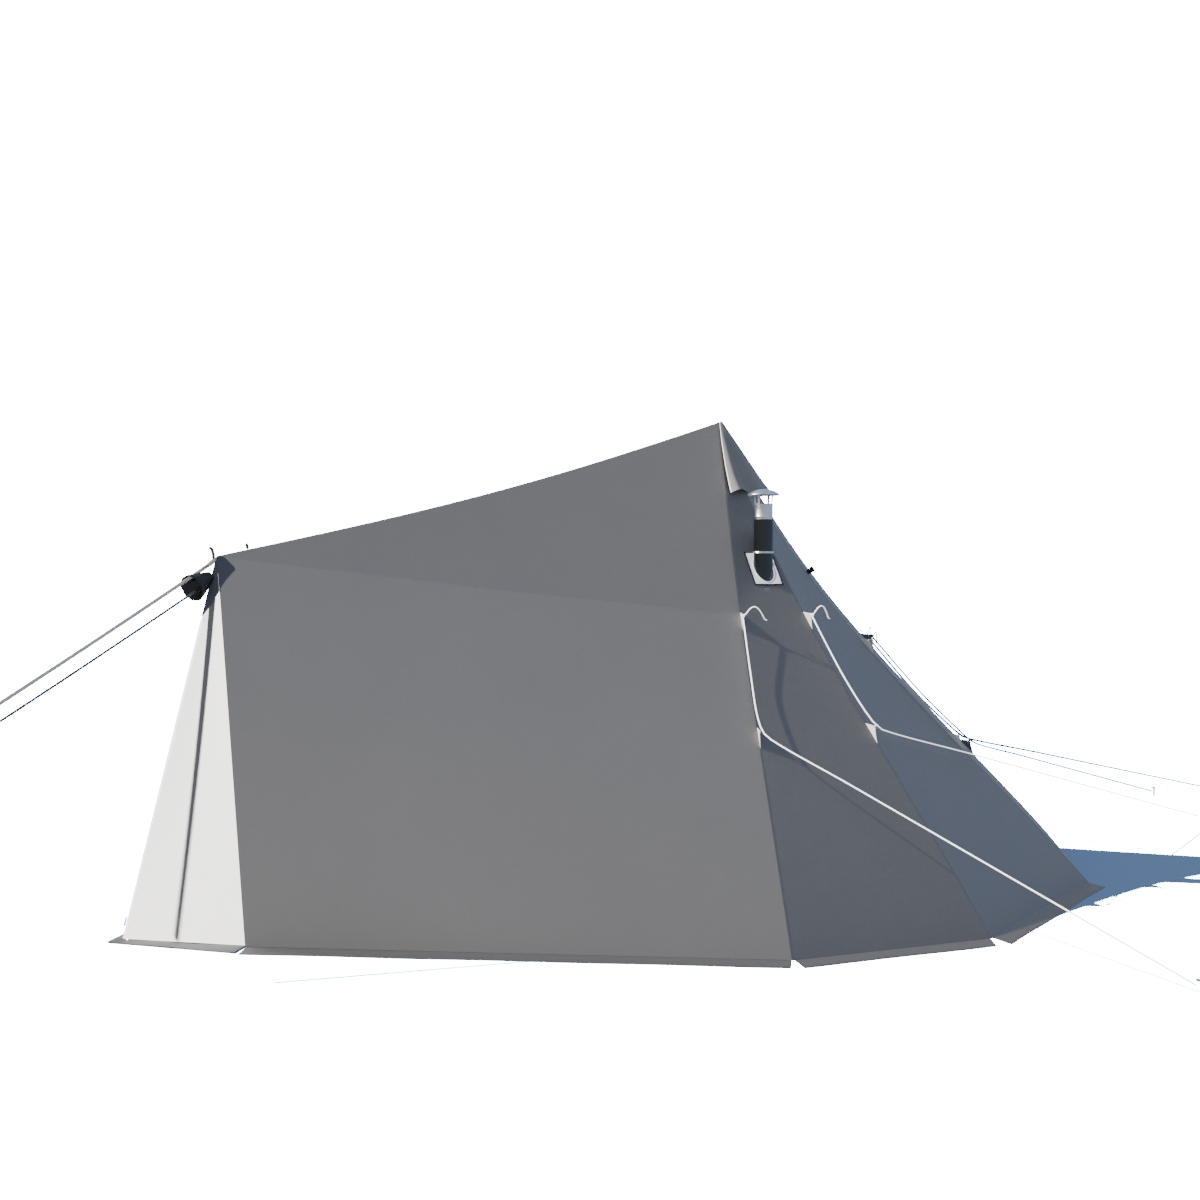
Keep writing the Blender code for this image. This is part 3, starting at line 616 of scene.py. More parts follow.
M_TAPE_FLAP = tape("flap_hem", (0.20, 0.19, 0.18), (0.30, 0.29, 0.27))
for side, word in SIDES:
    for k, place in enumerate(FACETS[:2]):
        a, b = corner(k, 0, side), corner(k + 1, 0, side)
        flap_sheet(f"flap_cloth_{place}_{word}", f"flap_{place}_{word}", a, b, a + b,
                   f"ground_flap_{place}_{word}", k * 1.7 + side, ((0.004, 0.036), (0.026, 0.028))[k])
    flap_sheet(f"flap_cloth_wall_{word}", f"flap_wall_{word}", foot(side), corner(0, 0, side),
               Vector((side * 1.82, -1.34, 0)), f"ground_flap_wall_{word}", 0.6 + side, (0.0, 0.014))

# ------------------------------------------------------------------ door halves with their skirt
for side, word in SIDES:
    d, g = foot(side), PROW.copy()
    t = (g - d).normalized()
    out = Vector((side * 0.749, -0.662, 0))
    out = (out - t * out.dot(t)).normalized()
    rows = []
    for v in (1.0, 0.75, 0.5, 0.25, 0.0):
        rows.append([lerp(d + t * 0.007 * v, g + t * 0.052 * v, u) + out * (lerp(0.085, 0.046, u) * v - 0.001)
                     + Vector((0, 0, 0.0042 + 0.0016 * math.sin(u * 11 + v * 2))) for u in steps(0, 1, 12)])
    skirt, *_ = grid_mesh(f"skirt_cloth_{word}", rows, M_FLAP, Vector((0, 0, 1)), 0.0010, 50)
    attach(skirt, f"door_{word}")
    rows = []
    for z in [0.006] + steps(0.05, 1.60, 26):
        line = []
        for u in steps(0, 1, 12):
            p = door_point(lerp(0.0, 0.999, u), z, side)
            p -= out * 0.006 * math.sin(math.pi * u) * math.sin(math.pi * z / 1.632)
            line.append(p)
        rows.append(line)
    obj, w, l, a = grid_mesh(f"door_cloth_{word}", rows, M_DOOR, Vector((side * 0.75, -0.66, 0.1)), 0.0010, 50)
    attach(obj, f"door_{word}"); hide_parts(f"door_half_{word}")
    declare_sheet(w, l, a)

# zip: a narrow tape on each door edge, teeth between them
for side, word in SIDES:
    line = [door_point(0.999, z, side) for z in steps(0.01, 1.36, 40)]
    rows = []
    for p in line:
        f = Vector((0, -1, 0))
        rows.append([p + Vector((side * 0.0035, -0.0022, 0)), p + Vector((side * 0.013, 0.004, 0)) + f * 0.0015,
                     p + Vector((side * 0.017, 0.0085, 0)) + f * 0.0010])
    obj, *_ = grid_mesh(f"zip_tape_{word}", rows, M_ZIP, Vector((side * 0.75, -0.66, 0)), 0.0, 60, unit_u=True)
    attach(obj, f"door_{word}")
bm = bmesh.new()
zd = (FRONT_TOP - PROW).normalized()
count = 300
for i in range(count):
    p = lerp(door_point(1, 0.012), door_point(1, 1.35), i / (count - 1)) + Vector((0, -0.0030, 0))
    made = bmesh.ops.create_cube(bm, size=1.0)["verts"]
    shift = 0.0009 if i % 2 else -0.0009
    bmesh.ops.transform(bm, matrix=Matrix.Translation(p + Vector((shift, 0, 0))) @ Matrix.Diagonal((0.0052, 0.0022, 0.0026, 1)),
                        verts=made)
obj = put("zip_teeth", bm, M_COIL, False)
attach(obj, "door_right")

# ------------------------------------------------------------------ hood over the back of the tall peak
APEX = Vector((0, 0, 2.425))


def hood_r(a, t):
    edge = abs(a - 180) / 123
    base = (0.315 - 0.045 * edge) * t
    return base


rows = []
keys = [57.0, 88.0, 122.0, 151.0, 180.0, 209.0, 238.0, 272.0, 303.0]
angles = []
for a0, a1 in zip(keys, keys[1:]):
    angles += steps(a0, a1, 10)[:-1]
angles.append(keys[-1])
for t in steps(0.055, 1.0, 14):
    row = []
    for i, a in enumerate(angles):
        # flat between the fold lines, which run over the tent's corner seams
        j = min(len(keys) - 2, i // 10)
        f = (a - keys[j]) / (keys[j + 1] - keys[j])
        ends = [59.0 + 7.0 * t] + keys[1:-1] + [301.0 - 7.0 * t]
        pa, pb = (Vector((hood_r(x, t) * math.sin(math.radians(x)), -hood_r(x, t) * math.cos(math.radians(x)), 0))
                  for x in (ends[j], ends[j + 1]))
        p = lerp(pa, pb, f)
        turn = min(a - keys[0], keys[-1] - a)
        p *= 1 + 0.060 * math.sin(math.radians(turn * 9.0)) * math.exp(-(turn / 48.0)**2) * min(1.0, t * 2)
        arch = 0.018 * math.sin(math.pi * f) * t**6
        row.append(Vector((p.x, p.y, APEX.z - 0.440 * t + arch)))
    rows.append(row)
obj, w, l, a = grid_mesh("apex_hood_cloth", rows, M_ROOF, Vector((0, 1, 0.6)), 0.0012, 25)
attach(obj, "tent"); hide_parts("apex_hood")
declare_sheet(w, l, a)
# the hood's side edges in near-white binding: a painted highlight along the sunlit edge
for side, word in SIDES:
    idx = 0 if side > 0 else -1
    grid = []
    for row in rows:
        p = row[idx]
        q = row[1 if side > 0 else -2]
        tang = (q - p).normalized()
        wide = 0.004 + 0.013 * (APEX.z - p.z) / 0.44
        inward = Vector((-p.x, -p.y, 0)).normalized()
        grid.append([p + Vector((0, -0.0012, 0)) + inward * 0.0 , p + inward * wide * 0.75 + Vector((0, -0.004, 0))])
    edge, *_ = grid_mesh(f"apex_hood_edge_{word}", grid, M_HIGHLIGHT_WHITE, Vector((side * 0.5, -1, 0)), 0.0008, 60, unit_u=True)
    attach(edge, "tent")

# the peak's reinforcement, seen from inside only, in the dark bluish cloth whose colour is painted shade
for name in ("peak_pocket",):
    bpy.data.objects[name].data.materials.clear()
    bpy.data.objects[name].data.materials.append(M_HOOD_SHADE)

# ------------------------------------------------------------------ stove jack, pipe and cap
px, py = PIPE_AT


def where_pipe_meets():
    best = None
    for i in range(400):
        z = 1.48 + 0.16 * i / 400
        for j in range(60):
            u = 0.45 + 0.3 * j / 60
            q = facet_point(0, u, z)
            gap = (q.x - px)**2 + (q.y - py)**2
            if best is None or gap < best[0]:
                best = (gap, u, z)
    return best[1], best[2]


JU, JZ = where_pipe_meets()
JC = facet_point(0, JU, JZ)
J_ACROSS = (facet_point(0, JU + 0.1, JZ) - facet_point(0, JU - 0.1, JZ)).normalized()
J_UP = (facet_point(0, JU, JZ + 0.05) - facet_point(0, JU, JZ - 0.05)).normalized()
J_OUT = J_ACROSS.cross(J_UP).normalized()
if J_OUT.x < 0:
    J_OUT = -J_OUT
J_UP = (J_UP - J_OUT * J_UP.dot(J_OUT)).normalized()


def jack_ring(name, inner, outer, lift, mat, thick, n=120, rounds=5):
    """A flat ring on the cloth: inner and outer give the distance from the centre at each angle."""
    grid = []
    for i in range(n + 1):
        w = 2 * math.pi * i / n
        row = []
        for t in steps(0, 1, rounds):
            r = lerp(inner(w), outer(w), t)
            ripple = 0.0006 * math.sin(w * 6 + t * 3) * math.sin(math.pi * t)
            row.append(JC + J_ACROSS * r * math.cos(w) + J_UP * r * math.sin(w) + J_OUT * (lift + ripple))
        grid.append(row)
    obj, *_ = grid_mesh(name, grid, mat, J_OUT, 0.0, 60)
    bm = bmesh.new()
    bm.from_mesh(obj.data)
    bmesh.ops.remove_doubles(bm, verts=bm.verts, dist=1e-5)
    bm.to_mesh(obj.data)
    bm.free()
    mod = obj.modifiers.new("thickness", "SOLIDIFY")
    mod.thickness = thick
    mod.offset = 1
    return obj


def box_r(a, b):
    return lambda w: min(a / max(abs(math.cos(w)), 1e-6), b / max(abs(math.sin(w)), 1e-6))


def oval_r(a, b):
    return lambda w: a * b / math.sqrt((b * math.cos(w))**2 + (a * math.sin(w))**2)


LONG = 0.0505 / max(0.2, J_OUT.z)
jack = jack_ring("jack_cloth", oval_r(0.0530, LONG + 0.0040), box_r(0.0720, LONG + 0.0165), 0.0030, M_JACK, 0.0012)
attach(jack, "tent"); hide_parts("stove_jack")
edging = jack_ring("jack_edging_tape", box_r(0.0712, LONG + 0.0157), box_r(0.0785, LONG + 0.0230), 0.0038, M_EDGE_SHADE, 0.0012, 120, 3)
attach(edging, "tent"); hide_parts("stove_jack_edging")
lip = jack_ring("jack_hole_lip", oval_r(0.0512, LONG + 0.0010), oval_r(0.0548, LONG + 0.0062), 0.0046, M_JACK, 0.0014, 120, 2)
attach(lip, "tent")

sleeve = lathe("pipe_lower_black", [(0.0455, 1.20), (0.0500, 1.20), (0.0500, 1.8265), (0.0490, 1.8280), (0.0460, 1.8280),
                                    (0.0455, 1.8265), (0.0455, 1.20)], PIPE_AT, M_BLACK, 72)
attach(sleeve, "stove_pipe"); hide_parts("pipe_sleeve")
ring_z = (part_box("pipe_clamp")[0][2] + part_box("pipe_clamp")[1][2]) / 2
band = lathe("pipe_band", [(0.0505, ring_z - 0.005), (0.0535, ring_z - 0.005), (0.0542, ring_z - 0.003), (0.0528, ring_z),
                           (0.0542, ring_z + 0.003), (0.0535, ring_z + 0.005), (0.0505, ring_z + 0.005), (0.0505, ring_z - 0.005)],
             PIPE_AT, M_STEEL, 72)
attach(band, "stove_pipe"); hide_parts("pipe_clamp")
inner = lathe("pipe_upper_steel", [(0.0425, 1.77), (0.0445, 1.77), (0.0445, 1.904), (0.0435, 1.905), (0.0425, 1.904), (0.0425, 1.77)],
              PIPE_AT, M_STEEL, 64)
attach(inner, "stove_pipe"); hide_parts("pipe_top_section")

bm_cap = []
cap_band = lathe("cap_band", [(0.0453, 1.836), (0.0478, 1.836), (0.0490, 1.838), (0.0490, 1.843), (0.0480, 1.845), (0.0480, 1.898),
                              (0.0490, 1.901), (0.0490, 1.909), (0.0475, 1.911), (0.0453, 1.911), (0.0453, 1.836)],
                 PIPE_AT, M_STEEL, 64)
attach(cap_band, "cap")
prof = [(0, 1.9880)]
for i in range(1, 13):
    r = 0.082 * i / 12
    prof.append((r, 1.962 + 0.026 * (1 - (i / 12)**2)**0.8 - 0.001 * (i / 12)))
prof += [(0.0835, 1.9590), (0.0842, 1.9565), (0.0832, 1.9550), (0.0815, 1.9570)]
for i in range(11, 0, -1):
    r = 0.080 * i / 12
    prof.append((r, 1.9605 + 0.0255 * (1 - (i / 12)**2)**0.8 - 0.001))
prof.append((0, 1.9850))
dome = lathe("cap_dome", prof, PIPE_AT, M_STEEL, 72, 50)
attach(dome, "cap"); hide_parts("rain_cap")
for i in range(4):
    a = math.radians(20 + 90 * i)
    rows = []
    for t in steps(0, 1, 8):
        r = lerp(0.0492, 0.0560, t**1.5)
        half = lerp(0.0045, 0.0085, t**2) + 0.002 * (1 - t)**4
        z = lerp(1.890, 1.9645, t)
        rows.append([Vector((px + r * math.cos(a + s * half / r), py + r * math.sin(a + s * half / r), z)) for s in (-1, 0, 1)])
    leg, *_ = grid_mesh(f"cap_leg_{i}", rows, M_STEEL, Vector((math.cos(a), math.sin(a), 0)), 0.0014, 40)
    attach(leg, "cap")
    bm = bmesh.new()
    bmesh.ops.create_uvsphere(bm, u_segments=12, v_segments=8, radius=0.0022)
    bmesh.ops.transform(bm, matrix=Matrix.Translation((px + 0.0505 * math.cos(a), py + 0.0505 * math.sin(a), 1.896)), verts=bm.verts)
    rivet = put(f"cap_rivet_{i}", bm, M_STEEL)
    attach(rivet, "cap")

# ------------------------------------------------------------------ poles
for name in ("centre_pole_lower", "centre_pole_upper", "front_pole_lower", "front_pole_upper"):
    o = bpy.data.objects[name]
    o.data.materials.clear()
    o.data.materials.append(M_ALLOY)
o = bpy.data.objects["centre_pole_foot"]
o.data.materials.clear()
o.data.materials.append(M_PLASTIC)

# ------------------------------------------------------------------ guy lines
def smooth_line(keys, n):
    pts = []
    for i in range(len(keys) - 1):
        p0, p1, p2 = keys[max(i - 1, 0)], keys[i], keys[i + 1]
        p3 = keys[min(i + 2, len(keys) - 1)]
        m1 = (p2 - p0) * 0.5 * min(1, (p2 - p1).length / max((p2 - p0).length / 2, 1e-9))
        m2 = (p3 - p1) * 0.5 * min(1, (p2 - p1).length / max((p3 - p1).length / 2, 1e-9))
        for j in range(40):
            t = j / 40
            pts.append(p1 * (2 * t**3 - 3 * t**2 + 1) + m1 * (t**3 - 2 * t**2 + t)
                       + p2 * (-2 * t**3 + 3 * t**2) + m2 * (t**3 - t**2))
    pts.append(keys[-1])
    total = sum((b - a).length for a, b in zip(pts, pts[1:]))
    out, run = [pts[0]], 0.0
    for a, b in zip(pts, pts[1:]):
        seg = (b - a).length
        while run + seg >= total / n * len(out) and len(out) < n:
            out.append(lerp(a, b, (total / n * len(out) - run) / max(seg, 1e-9)))
        run += seg
    out.append(pts[-1])
    return out


def outward(k, z, push, side=1):
    p = corner(k, z)
    a = math.radians(CORNERS[k])
    p += Vector((math.sin(a), -math.cos(a), 0.35)).normalized() * push
    return Vector((side * p.x, p.y, p.z))


TIE_HIGH, TIE_LOW = 1.335, 0.815
GUYS = (("front_corner", 0, (2.790, 0.060), (2.790, 0.060), TIE_LOW, TIE_HIGH),
        ("side_corner", 1, (1.270, 2.800), (2.740, 1.250), TIE_LOW, TIE_HIGH),
        ("rear_corner", 2, (0.720, 3.740), (2.200, 2.600), 0.695, 1.180),
        ("back_corner", 3, (0.620, 3.290), (1.200, 3.000), 0.560, 1.180))


def fin(name, k, z, side, wide=0.062, tall=0.085, mat=M_PATCH):
    """A triangular tie-out: two layers of cloth sewn into the corner seam; returns the point for the ring at its tip.
    """
    a = math.radians(CORNERS[k])
    radial = Vector((side * math.sin(a), -math.cos(a), 0))
    across = Vector((side * math.cos(a), math.sin(a), 0))
    s1 = corner(k, z + 0.012, side)
    s2 = corner(k, z + 0.012 - tall, side)
    tip = corner(k, z + 0.012, side) + radial * wide - Vector((0, 0, 0.006))
    rows = []
    for v in steps(0, 1, 8):
        lo = lerp(s1, s2, v)
        rows.append([lerp(lo, lerp(tip, s2, v), u) + across * 0.0022 * math.sin(math.pi * u) * (1 - v) for u in steps(0, 1, 6)])
    rows[-1] = [s2 + radial * 0.0004 * i for i in range(7)]
    obj, *_ = grid_mesh(name, rows, mat, across, 0.0022, 50)
    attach(obj, "tent")
    return tip - radial * 0.008 - Vector((0, 0, 0.008))


def torus(name, centre, axis, major, minor, mat, body="tent"):
    bm = bmesh.new()
    x = axis.orthogonal().normalized()
    y = axis.normalized().cross(x)
    rings = []
    for i in range(24):
        w = 2 * math.pi * i / 24
        radial = x * math.cos(w) + y * math.sin(w)
        rings.append([bm.verts.new(centre + radial * (major + minor * math.cos(q)) + axis.normalized() * minor * math.sin(q))
                      for q in [2 * math.pi * j / 10 for j in range(10)]])
    for i in range(24):
        a, b = rings[i], rings[(i + 1) % 24]
        for j in range(10):
            bm.faces.new((a[j], a[(j + 1) % 10], b[(j + 1) % 10], b[j]))
    bmesh.ops.recalc_face_normals(bm, faces=bm.faces)
    obj = put(name, bm, mat)
    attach(obj, body)
    return obj


for place, k, right_peg, left_peg, low, high in GUYS:
    for side, word in SIDES:
        at = right_peg if side > 0 else left_peg
        top, mid = outward(k, high, 0.030, side), outward(k, low, 0.062, side)
        hold = Vector((side * at[0], at[1], 0.030))
        away = (hold - mid).normalized()
        a = math.radians(CORNERS[k])
        radial = Vector((side * math.sin(a), -math.cos(a), 0))
        tangent = Vector((side * math.cos(a), math.sin(a), 0))
        # rear and back corners take the dark copies of rope and tie-out: painted shade
        rope, tie = (M_ROPE, M_PATCH) if k < 2 else (M_DARK_SHADED_ROPE, M_SHADED_TIE)
        tip_hi = fin(f"tie_out_high_{place}_{word}", k, high, side, mat=tie)
        tip_lo = fin(f"tie_out_low_{place}_{word}", k, low, side, mat=tie)
        start = tip_hi + radial * 0.010
        ring_lo = tip_lo + radial * 0.012
        keys = [start, lerp(start, ring_lo, 0.5) + Vector((0, 0, -0.012)) - radial * 0.010,
                lerp(start, ring_lo, 0.88) - radial * 0.004, ring_lo + away * 0.045,
                lerp(ring_lo, hold, 0.25), lerp(ring_lo, hold, 0.6), hold - away * 0.016]
        line = smooth_line(keys, 60)
        cord = tube_along(f"guy_line_{place}_{word}", line, 0.0036 if k < 2 else 0.0055, rope, 10)
        # knot and the loose tail that springs over in an arc
        knot_pts = []
        for i in range(40):
            w = 2 * math.pi * 2.2 * i / 39
            knot_pts.append(start + (radial * math.cos(w) + Vector((0, 0, 1)) * math.sin(w)) * 0.0062
                            + tangent * (i / 39 - 0.5) * 0.016)
        arc = [knot_pts[-1]]
        for i in range(1, 20):
            w = i / 19
            arc.append(start + tangent * (0.010 + 0.112 * w) + radial * 0.010 * math.sin(math.pi * w)
                       + Vector((0, 0, 0.050 * math.sin(math.pi * min(1, w * 1.12)) - 0.022 * w * w)))
        tail = tube_along(f"guy_tail_{place}_{word}", smooth_line(knot_pts + arc, 90), 0.0034, rope, 8)
        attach(tail, "tent")
        torus(f"tie_ring_high_{place}_{word}", tip_hi, tangent, 0.0085, 0.0016, M_PEG)
        torus(f"tie_ring_low_{place}_{word}", tip_lo + radial * 0.006, tangent, 0.0105, 0.0018, M_PEG)
        slider = []
        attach(cord, "tent"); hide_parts(f"guy_{place}_{word}")
        peg = bpy.data.objects[f"peg_{place}_{word}"]
        peg.data.materials.clear()
        peg.data.materials.append(M_PEG)

for word, first, last, thick, mat in (("main", Vector((0, -2.835, 1.591)), Vector((0, -3.750, 0.975)), 0.014, M_THICK),
                                      ("light", Vector((0, -2.890, 1.479)), Vector((0, -3.750, 0.904)), 0.009, M_DARK_SHADED_ROPE)):
    line = [lerp(first, last, t) for t in steps(0, 1, 40)]
    for i, p in enumerate(line):
        p.z -= 0.004 * math.sin(math.pi * i / 40)
    cord = tube_along(f"front_line_{word}", line, thick / 2 + 0.0010, mat, 14)
    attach(cord, "tent"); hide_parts(f"front_guy_{word}")
    loop = bpy.data.objects[f"front_guy_loop_{word}"]
    loop.data.materials.clear()
    loop.data.materials.append(mat)

# ------------------------------------------------------------------ front peak hood and vent cowl
HOOD_RIGHT = {"wall": ((0.000, 0.000), (0.030, 0.000), (0.040, 0.045), (0.012, 0.072), (0.000, 0.100)),
              "door": ((0.0, 1.632), (0.0, 1.475), (0.45, 1.445), (1.0, 1.368), (1.0, 1.632))}
for side, word in SIDES:
    out = Vector((side * 0.75, -0.64, 0.16))
    # on the wall: a short pointed dark patch that ends at the wall's front edge; it lies where the hood's shadow falls
    # on the wall, a painted shadow
    rows = []
    for v in steps(0, 1, 12):
        reach = 0.031 * (1 - abs(v - 0.30) / 0.30 * 0.62) if v < 0.30 else 0.031 * (1 - (v - 0.30) / 0.70)**1.3
        reach = max(reach, 0.0015)
        rows.append([wall_point(reach * u, v * 0.096, side) + out * 0.0022 for u in steps(0, 1, 6)])
    obj, *_ = grid_mesh(f"peak_patch_wall_{word}", rows, M_HOOD_SHADE, out, 0.0012, 60)
    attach(obj, "tent")
    # on the door: runs from the wall's edge to the zip, longest at the zip
    rows = []
    for u in steps(0, 1, 10):
        low = lerp(1.478, 1.440, u / 0.45) if u < 0.45 else lerp(1.440, 1.366, (u - 0.45) / 0.55)
        rows.append([door_point(u, lerp(1.629, low, v), side) + out * 0.0040 for v in steps(0, 1, 12)])
    obj, *_ = grid_mesh(f"peak_patch_door_{word}", rows, M_HOOD_SHADE, out, 0.0012, 60)
    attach(obj, "tent")
    if side > 0:
        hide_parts("front_peak_hood")

# the cowl: a dark gathered trumpet under the thick line
start, end = Vector((0, -2.822, 1.548)), Vector((0.004, -2.905, 1.492))
rows = []
for t, r in ((0.0, 0.018), (0.12, 0.024), (0.28, 0.031), (0.45, 0.039), (0.62, 0.047), (0.78, 0.0535), (0.92, 0.0585), (1.0, 0.0605),
             (1.03, 0.0590), (0.97, 0.0560), (0.80, 0.0480), (0.50, 0.034), (0.2, 0.022)):
    c = lerp(start, end, t)
    axis = lerp((end - start).normalized(), Vector((0.50, -0.78, -0.38)), min(1.0, t) ** 1.5).normalized()
    x = Vector((0, 0, 1)).cross(axis).normalized()
    up = axis.cross(x).normalized()
    row = []
    for i in range(61):
        w = 2 * math.pi * i / 60
        fold = 1 + 0.035 * math.sin(9 * w) * t * (1.6 - t)
        row.append(c + (x * math.cos(w) + up * math.sin(w)) * r * fold)
    rows.append(row)
obj, *_ = grid_mesh("vent_cowl_cloth", rows, M_PLASTIC, Vector((0, 0, 0)), 0.0, 60)
bm = bmesh.new(); bm.from_mesh(obj.data)
bmesh.ops.remove_doubles(bm, verts=bm.verts, dist=1e-6)
bmesh.ops.recalc_face_normals(bm, faces=bm.faces)
bm.to_mesh(obj.data); bm.free()
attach(obj, "tent"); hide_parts("front_vent_cowl")

# small cowl on the rear panel, beside the corner seam
c = facet_point(2, 0.06, 1.545)
n_out = Vector((0.72, 0.42, 0.55)).normalized()
rows = []
x = n_out.orthogonal().normalized()
y = n_out.cross(x)
for t, r in ((0.0, 0.0130), (0.3, 0.0135), (0.6, 0.0148), (0.85, 0.0168), (1.0, 0.0175), (1.02, 0.0165), (0.7, 0.0125), (0.2, 0.0105)):
    rows.append([c + n_out * (0.004 + 0.036 * t) + (x * math.cos(w) + y * math.sin(w)) * r
                 for w in [2 * math.pi * i / 28 for i in range(29)]])
obj, *_ = grid_mesh("rear_cowl_cloth", rows, M_PLASTIC, Vector((0, 0, 0)), 0.0, 60)
bm = bmesh.new(); bm.from_mesh(obj.data)
bmesh.ops.remove_doubles(bm, verts=bm.verts, dist=1e-6)
bmesh.ops.recalc_face_normals(bm, faces=bm.faces)
bm.to_mesh(obj.data); bm.free()
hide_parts("rear_vent_cowl")
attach(obj, "tent")

# rope tails on the front peak
for i, (base, lean) in enumerate(((Vector((0.0, -2.812, 1.622)), -0.016), (Vector((0.0, -2.665, 1.666)), -0.006))):
    pts = [base + Vector((0, lean * (t**2), (0.046, 0.018)[i] * math.sin(t * 1.45))) for t in steps(0, 1, 14)]
    tail = tube_along(f"ridge_tail_{i}", pts, 0.0072, M_GREYROPE, 8)
    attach(tail, "tent")

# the thick line's spliced end runs on into the hood
splice = tube_along("peak_splice", [Vector((0, -2.8375, 1.5893)), Vector((0, -2.826, 1.598)), Vector((0, -2.814, 1.6095)),
                                    Vector((0, -2.803, 1.621))], lambda t: 0.0078 + 0.0022 * math.sin(math.pi * t), M_THICK, 14)
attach(splice, "tent")
for i in range(4):
    c = lerp(Vector((0, -2.835, 1.591)), Vector((0, -3.750, 0.975)), 0.002 + i * 0.007)
    torus(f"peak_whipping_{i}", c, Vector((0, -0.829, -0.559)), 0.0074, 0.0014, M_PLASTIC)

# zip slider with its pull
zs = bpy.data.objects["zip_slider"]
zs.data.materials.clear()
zs.data.materials.append(M_PEG)

# ------------------------------------------------------------------ floor and light
bm = bmesh.new()
bmesh.ops.create_grid(bm, x_segments=1, y_segments=1, size=60)
floor_mat, floor_nt, floor_sh = new_mat("floor_blue_shadow_tint", 1.0)
# the floor's blue base colour is painted shade: the floor sun overexposes it to white, and in the tent's shadow it
# shows as the shadow's blue
floor_sh.inputs["Base Color"].default_value = (0.262, 0.362, 0.535, 1)
floor_sh.inputs["Specular IOR Level"].default_value = 0.0
floor = put("floor", bm, floor_mat, False)
floor.location.z = -0.0005
floor.visible_diffuse = False
floor.visible_glossy = False


def sun(name, towards, energy, angle, colour, pieces):
    """A sun that lights the named pieces only; everything still throws its shadow."""
    data = bpy.data.lights.new(name, "SUN")
    data.energy = energy
    data.angle = math.radians(angle)
    data.color = colour
    obj = bpy.data.objects.new(name, data)
    obj.rotation_mode = "QUATERNION"
    obj.rotation_quaternion = (-Vector(towards)).to_track_quat("-Z", "Y")
    bpy.context.scene.collection.objects.link(obj)
    group = bpy.data.collections.new(name + "_receivers")
    for piece in pieces:
        group.objects.link(piece)
    obj.light_linking.receiver_collection = group
    return obj


def level(azimuth, height):
    a, h = math.radians(azimuth), math.radians(height)
    return Vector((math.sin(a) * math.cos(h), -math.cos(a) * math.cos(h), math.sin(h)))


shown = [o for o in bpy.context.scene.objects if o.type in {"MESH", "CURVE"} and o is not floor]
groups = {"doors": [], "shade": [], "cloth": [], "skirts": [], "wall_flaps": [], "flaps": [], "small": []}
for o in shown:
    if o.name.startswith(("front_line", "peak_splice")):
        groups["shade"].append(o)
    elif o.name.startswith(("door_cloth", "zip_")):
        groups["doors"].append(o)
    elif o.name.startswith(("roof_cloth", "wall_cloth", "eave_seam", "ridge_seam")):
        groups["shade"].append(o)
    elif o.name.startswith(("front_cloth", "middle_cloth", "rear_cloth", "back_cloth")):
        groups["cloth"].append(o)
    elif o.name.startswith("skirt_cloth"):
        groups["skirts"].append(o)
    elif o.name.startswith("flap_cloth_wall"):
        groups["wall_flaps"].append(o)
    elif o.name.startswith("flap_cloth"):
        groups["flaps"].append(o)
    elif o.name.startswith("apex_hood") or not (o.name.startswith(("corner_seam", "flap_cloth", "peak_patch"))
                                                     or (o.data.materials and o.data.materials[0] in (M_BLACK, M_PLASTIC, M_EDGE_SHADE))):
        groups["small"].append(o)
    if o.name.startswith(("front_line_light", "front_guy_loop", "zip_", "peak_patch", "vent_cowl", "ridge_tail")):
        o.visible_shadow = False
floor_sun = sun("sun_floor", level(-41.2, 37.9), 430.0, 0.5, (1.0, 0.97, 0.92), [floor])
casters = bpy.data.collections.new("floor_shadow_casters")
for o in shown:
    if not (o.name.startswith(("rear_cloth", "back_cloth", "middle_cloth_left", "front_cloth_left", "apex_hood",
                               "guy_line_rear", "guy_line_back", "guy_tail_rear", "guy_tail_back"))
            or (o.name.endswith("_left") and o.name.startswith(("guy_", "tie_", "peg_")))):
        casters.objects.link(o)
floor_sun.light_linking.blocker_collection = casters
sun("sun_doors", (-0.129, -0.60, 0.79), 96.0, 0.7, (1.0, 0.985, 0.96), groups["doors"])
sun("sun_cloth", level(-41.2, 37.9), 3.8, 0.8, (1.0, 0.86, 0.72), groups["cloth"])
small_sun = sun("sun_small", level(-30, 30), 14.0, 0.6, (1.0, 0.98, 0.96), groups["small"])
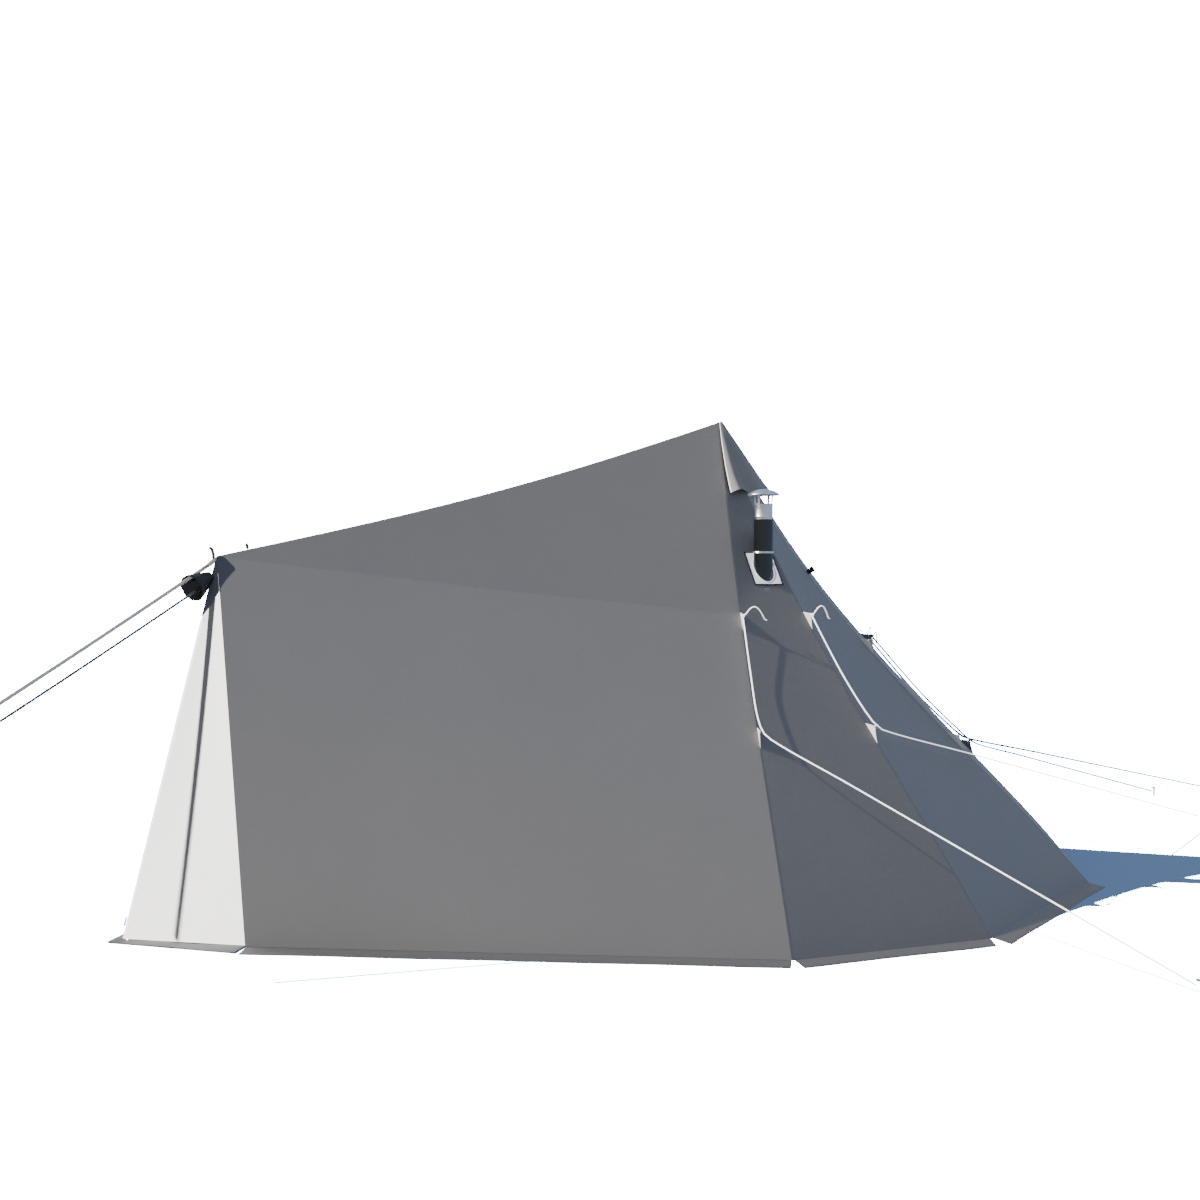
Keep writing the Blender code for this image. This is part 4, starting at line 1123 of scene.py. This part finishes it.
small_casters = bpy.data.collections.new("small_shadow_casters")
for o in groups["small"]:
    small_casters.objects.link(o)
small_sun.light_linking.blocker_collection = small_casters
sun("skirt_fill", (0.25, -0.35, 0.90), 0.05, 40.0, (1.0, 0.90, 0.80), groups["skirts"])
sun("wall_flap_fill", (0.50, -0.35, 0.80), 1.1, 40.0, (1.0, 0.88, 0.76), groups["wall_flaps"])
sun("flap_sun", level(-41.2, 37.9), 1.3, 0.8, (1.0, 0.90, 0.80), groups["flaps"])
lines = [o for o in shown if o.name.startswith(("guy_line_front", "guy_line_side", "guy_tail_front", "guy_tail_side"))]
sun("line_fill", level(60, 35), 9.0, 2.0, (1.0, 0.99, 0.97), lines)
sun("front_fill", level(30, 12), 2.1, 60.0, (1.0, 0.935, 0.875), groups["shade"])

world = bpy.data.worlds.new("sky")
world.use_nodes = True
bpy.context.scene.world = world
nt = world.node_tree
bg = nt.nodes["Background"]
where = nt.nodes.new("ShaderNodeTexCoord")
parts = nt.nodes.new("ShaderNodeSeparateXYZ")
nt.links.new(where.outputs["Generated"], parts.inputs[0])
# warm and bright in front, cooler and darker behind
front_back = math_node(nt, "MULTIPLY_ADD", parts.outputs[1], -0.5)
front_back.node.inputs[2].default_value = 0.5
tone = ramp(nt, front_back, [(0.10, (0.50, 0.66, 1.0)), (0.50, (0.60, 0.72, 0.92)), (0.75, (0.62, 0.64, 0.67))])
nt.links.new(tone.outputs["Color"], bg.inputs["Color"])
bg.inputs["Strength"].default_value = 0.79
white = nt.nodes.new("ShaderNodeBackground")
white.inputs["Color"].default_value = (1, 1, 1, 1)
white.inputs["Strength"].default_value = 20.0
path = nt.nodes.new("ShaderNodeLightPath")
mixer = nt.nodes.new("ShaderNodeMixShader")
nt.links.new(path.outputs["Is Camera Ray"], mixer.inputs[0])
nt.links.new(bg.outputs[0], mixer.inputs[1])
nt.links.new(white.outputs[0], mixer.inputs[2])
nt.links.new(mixer.outputs[0], nt.nodes["World Output"].inputs["Surface"])
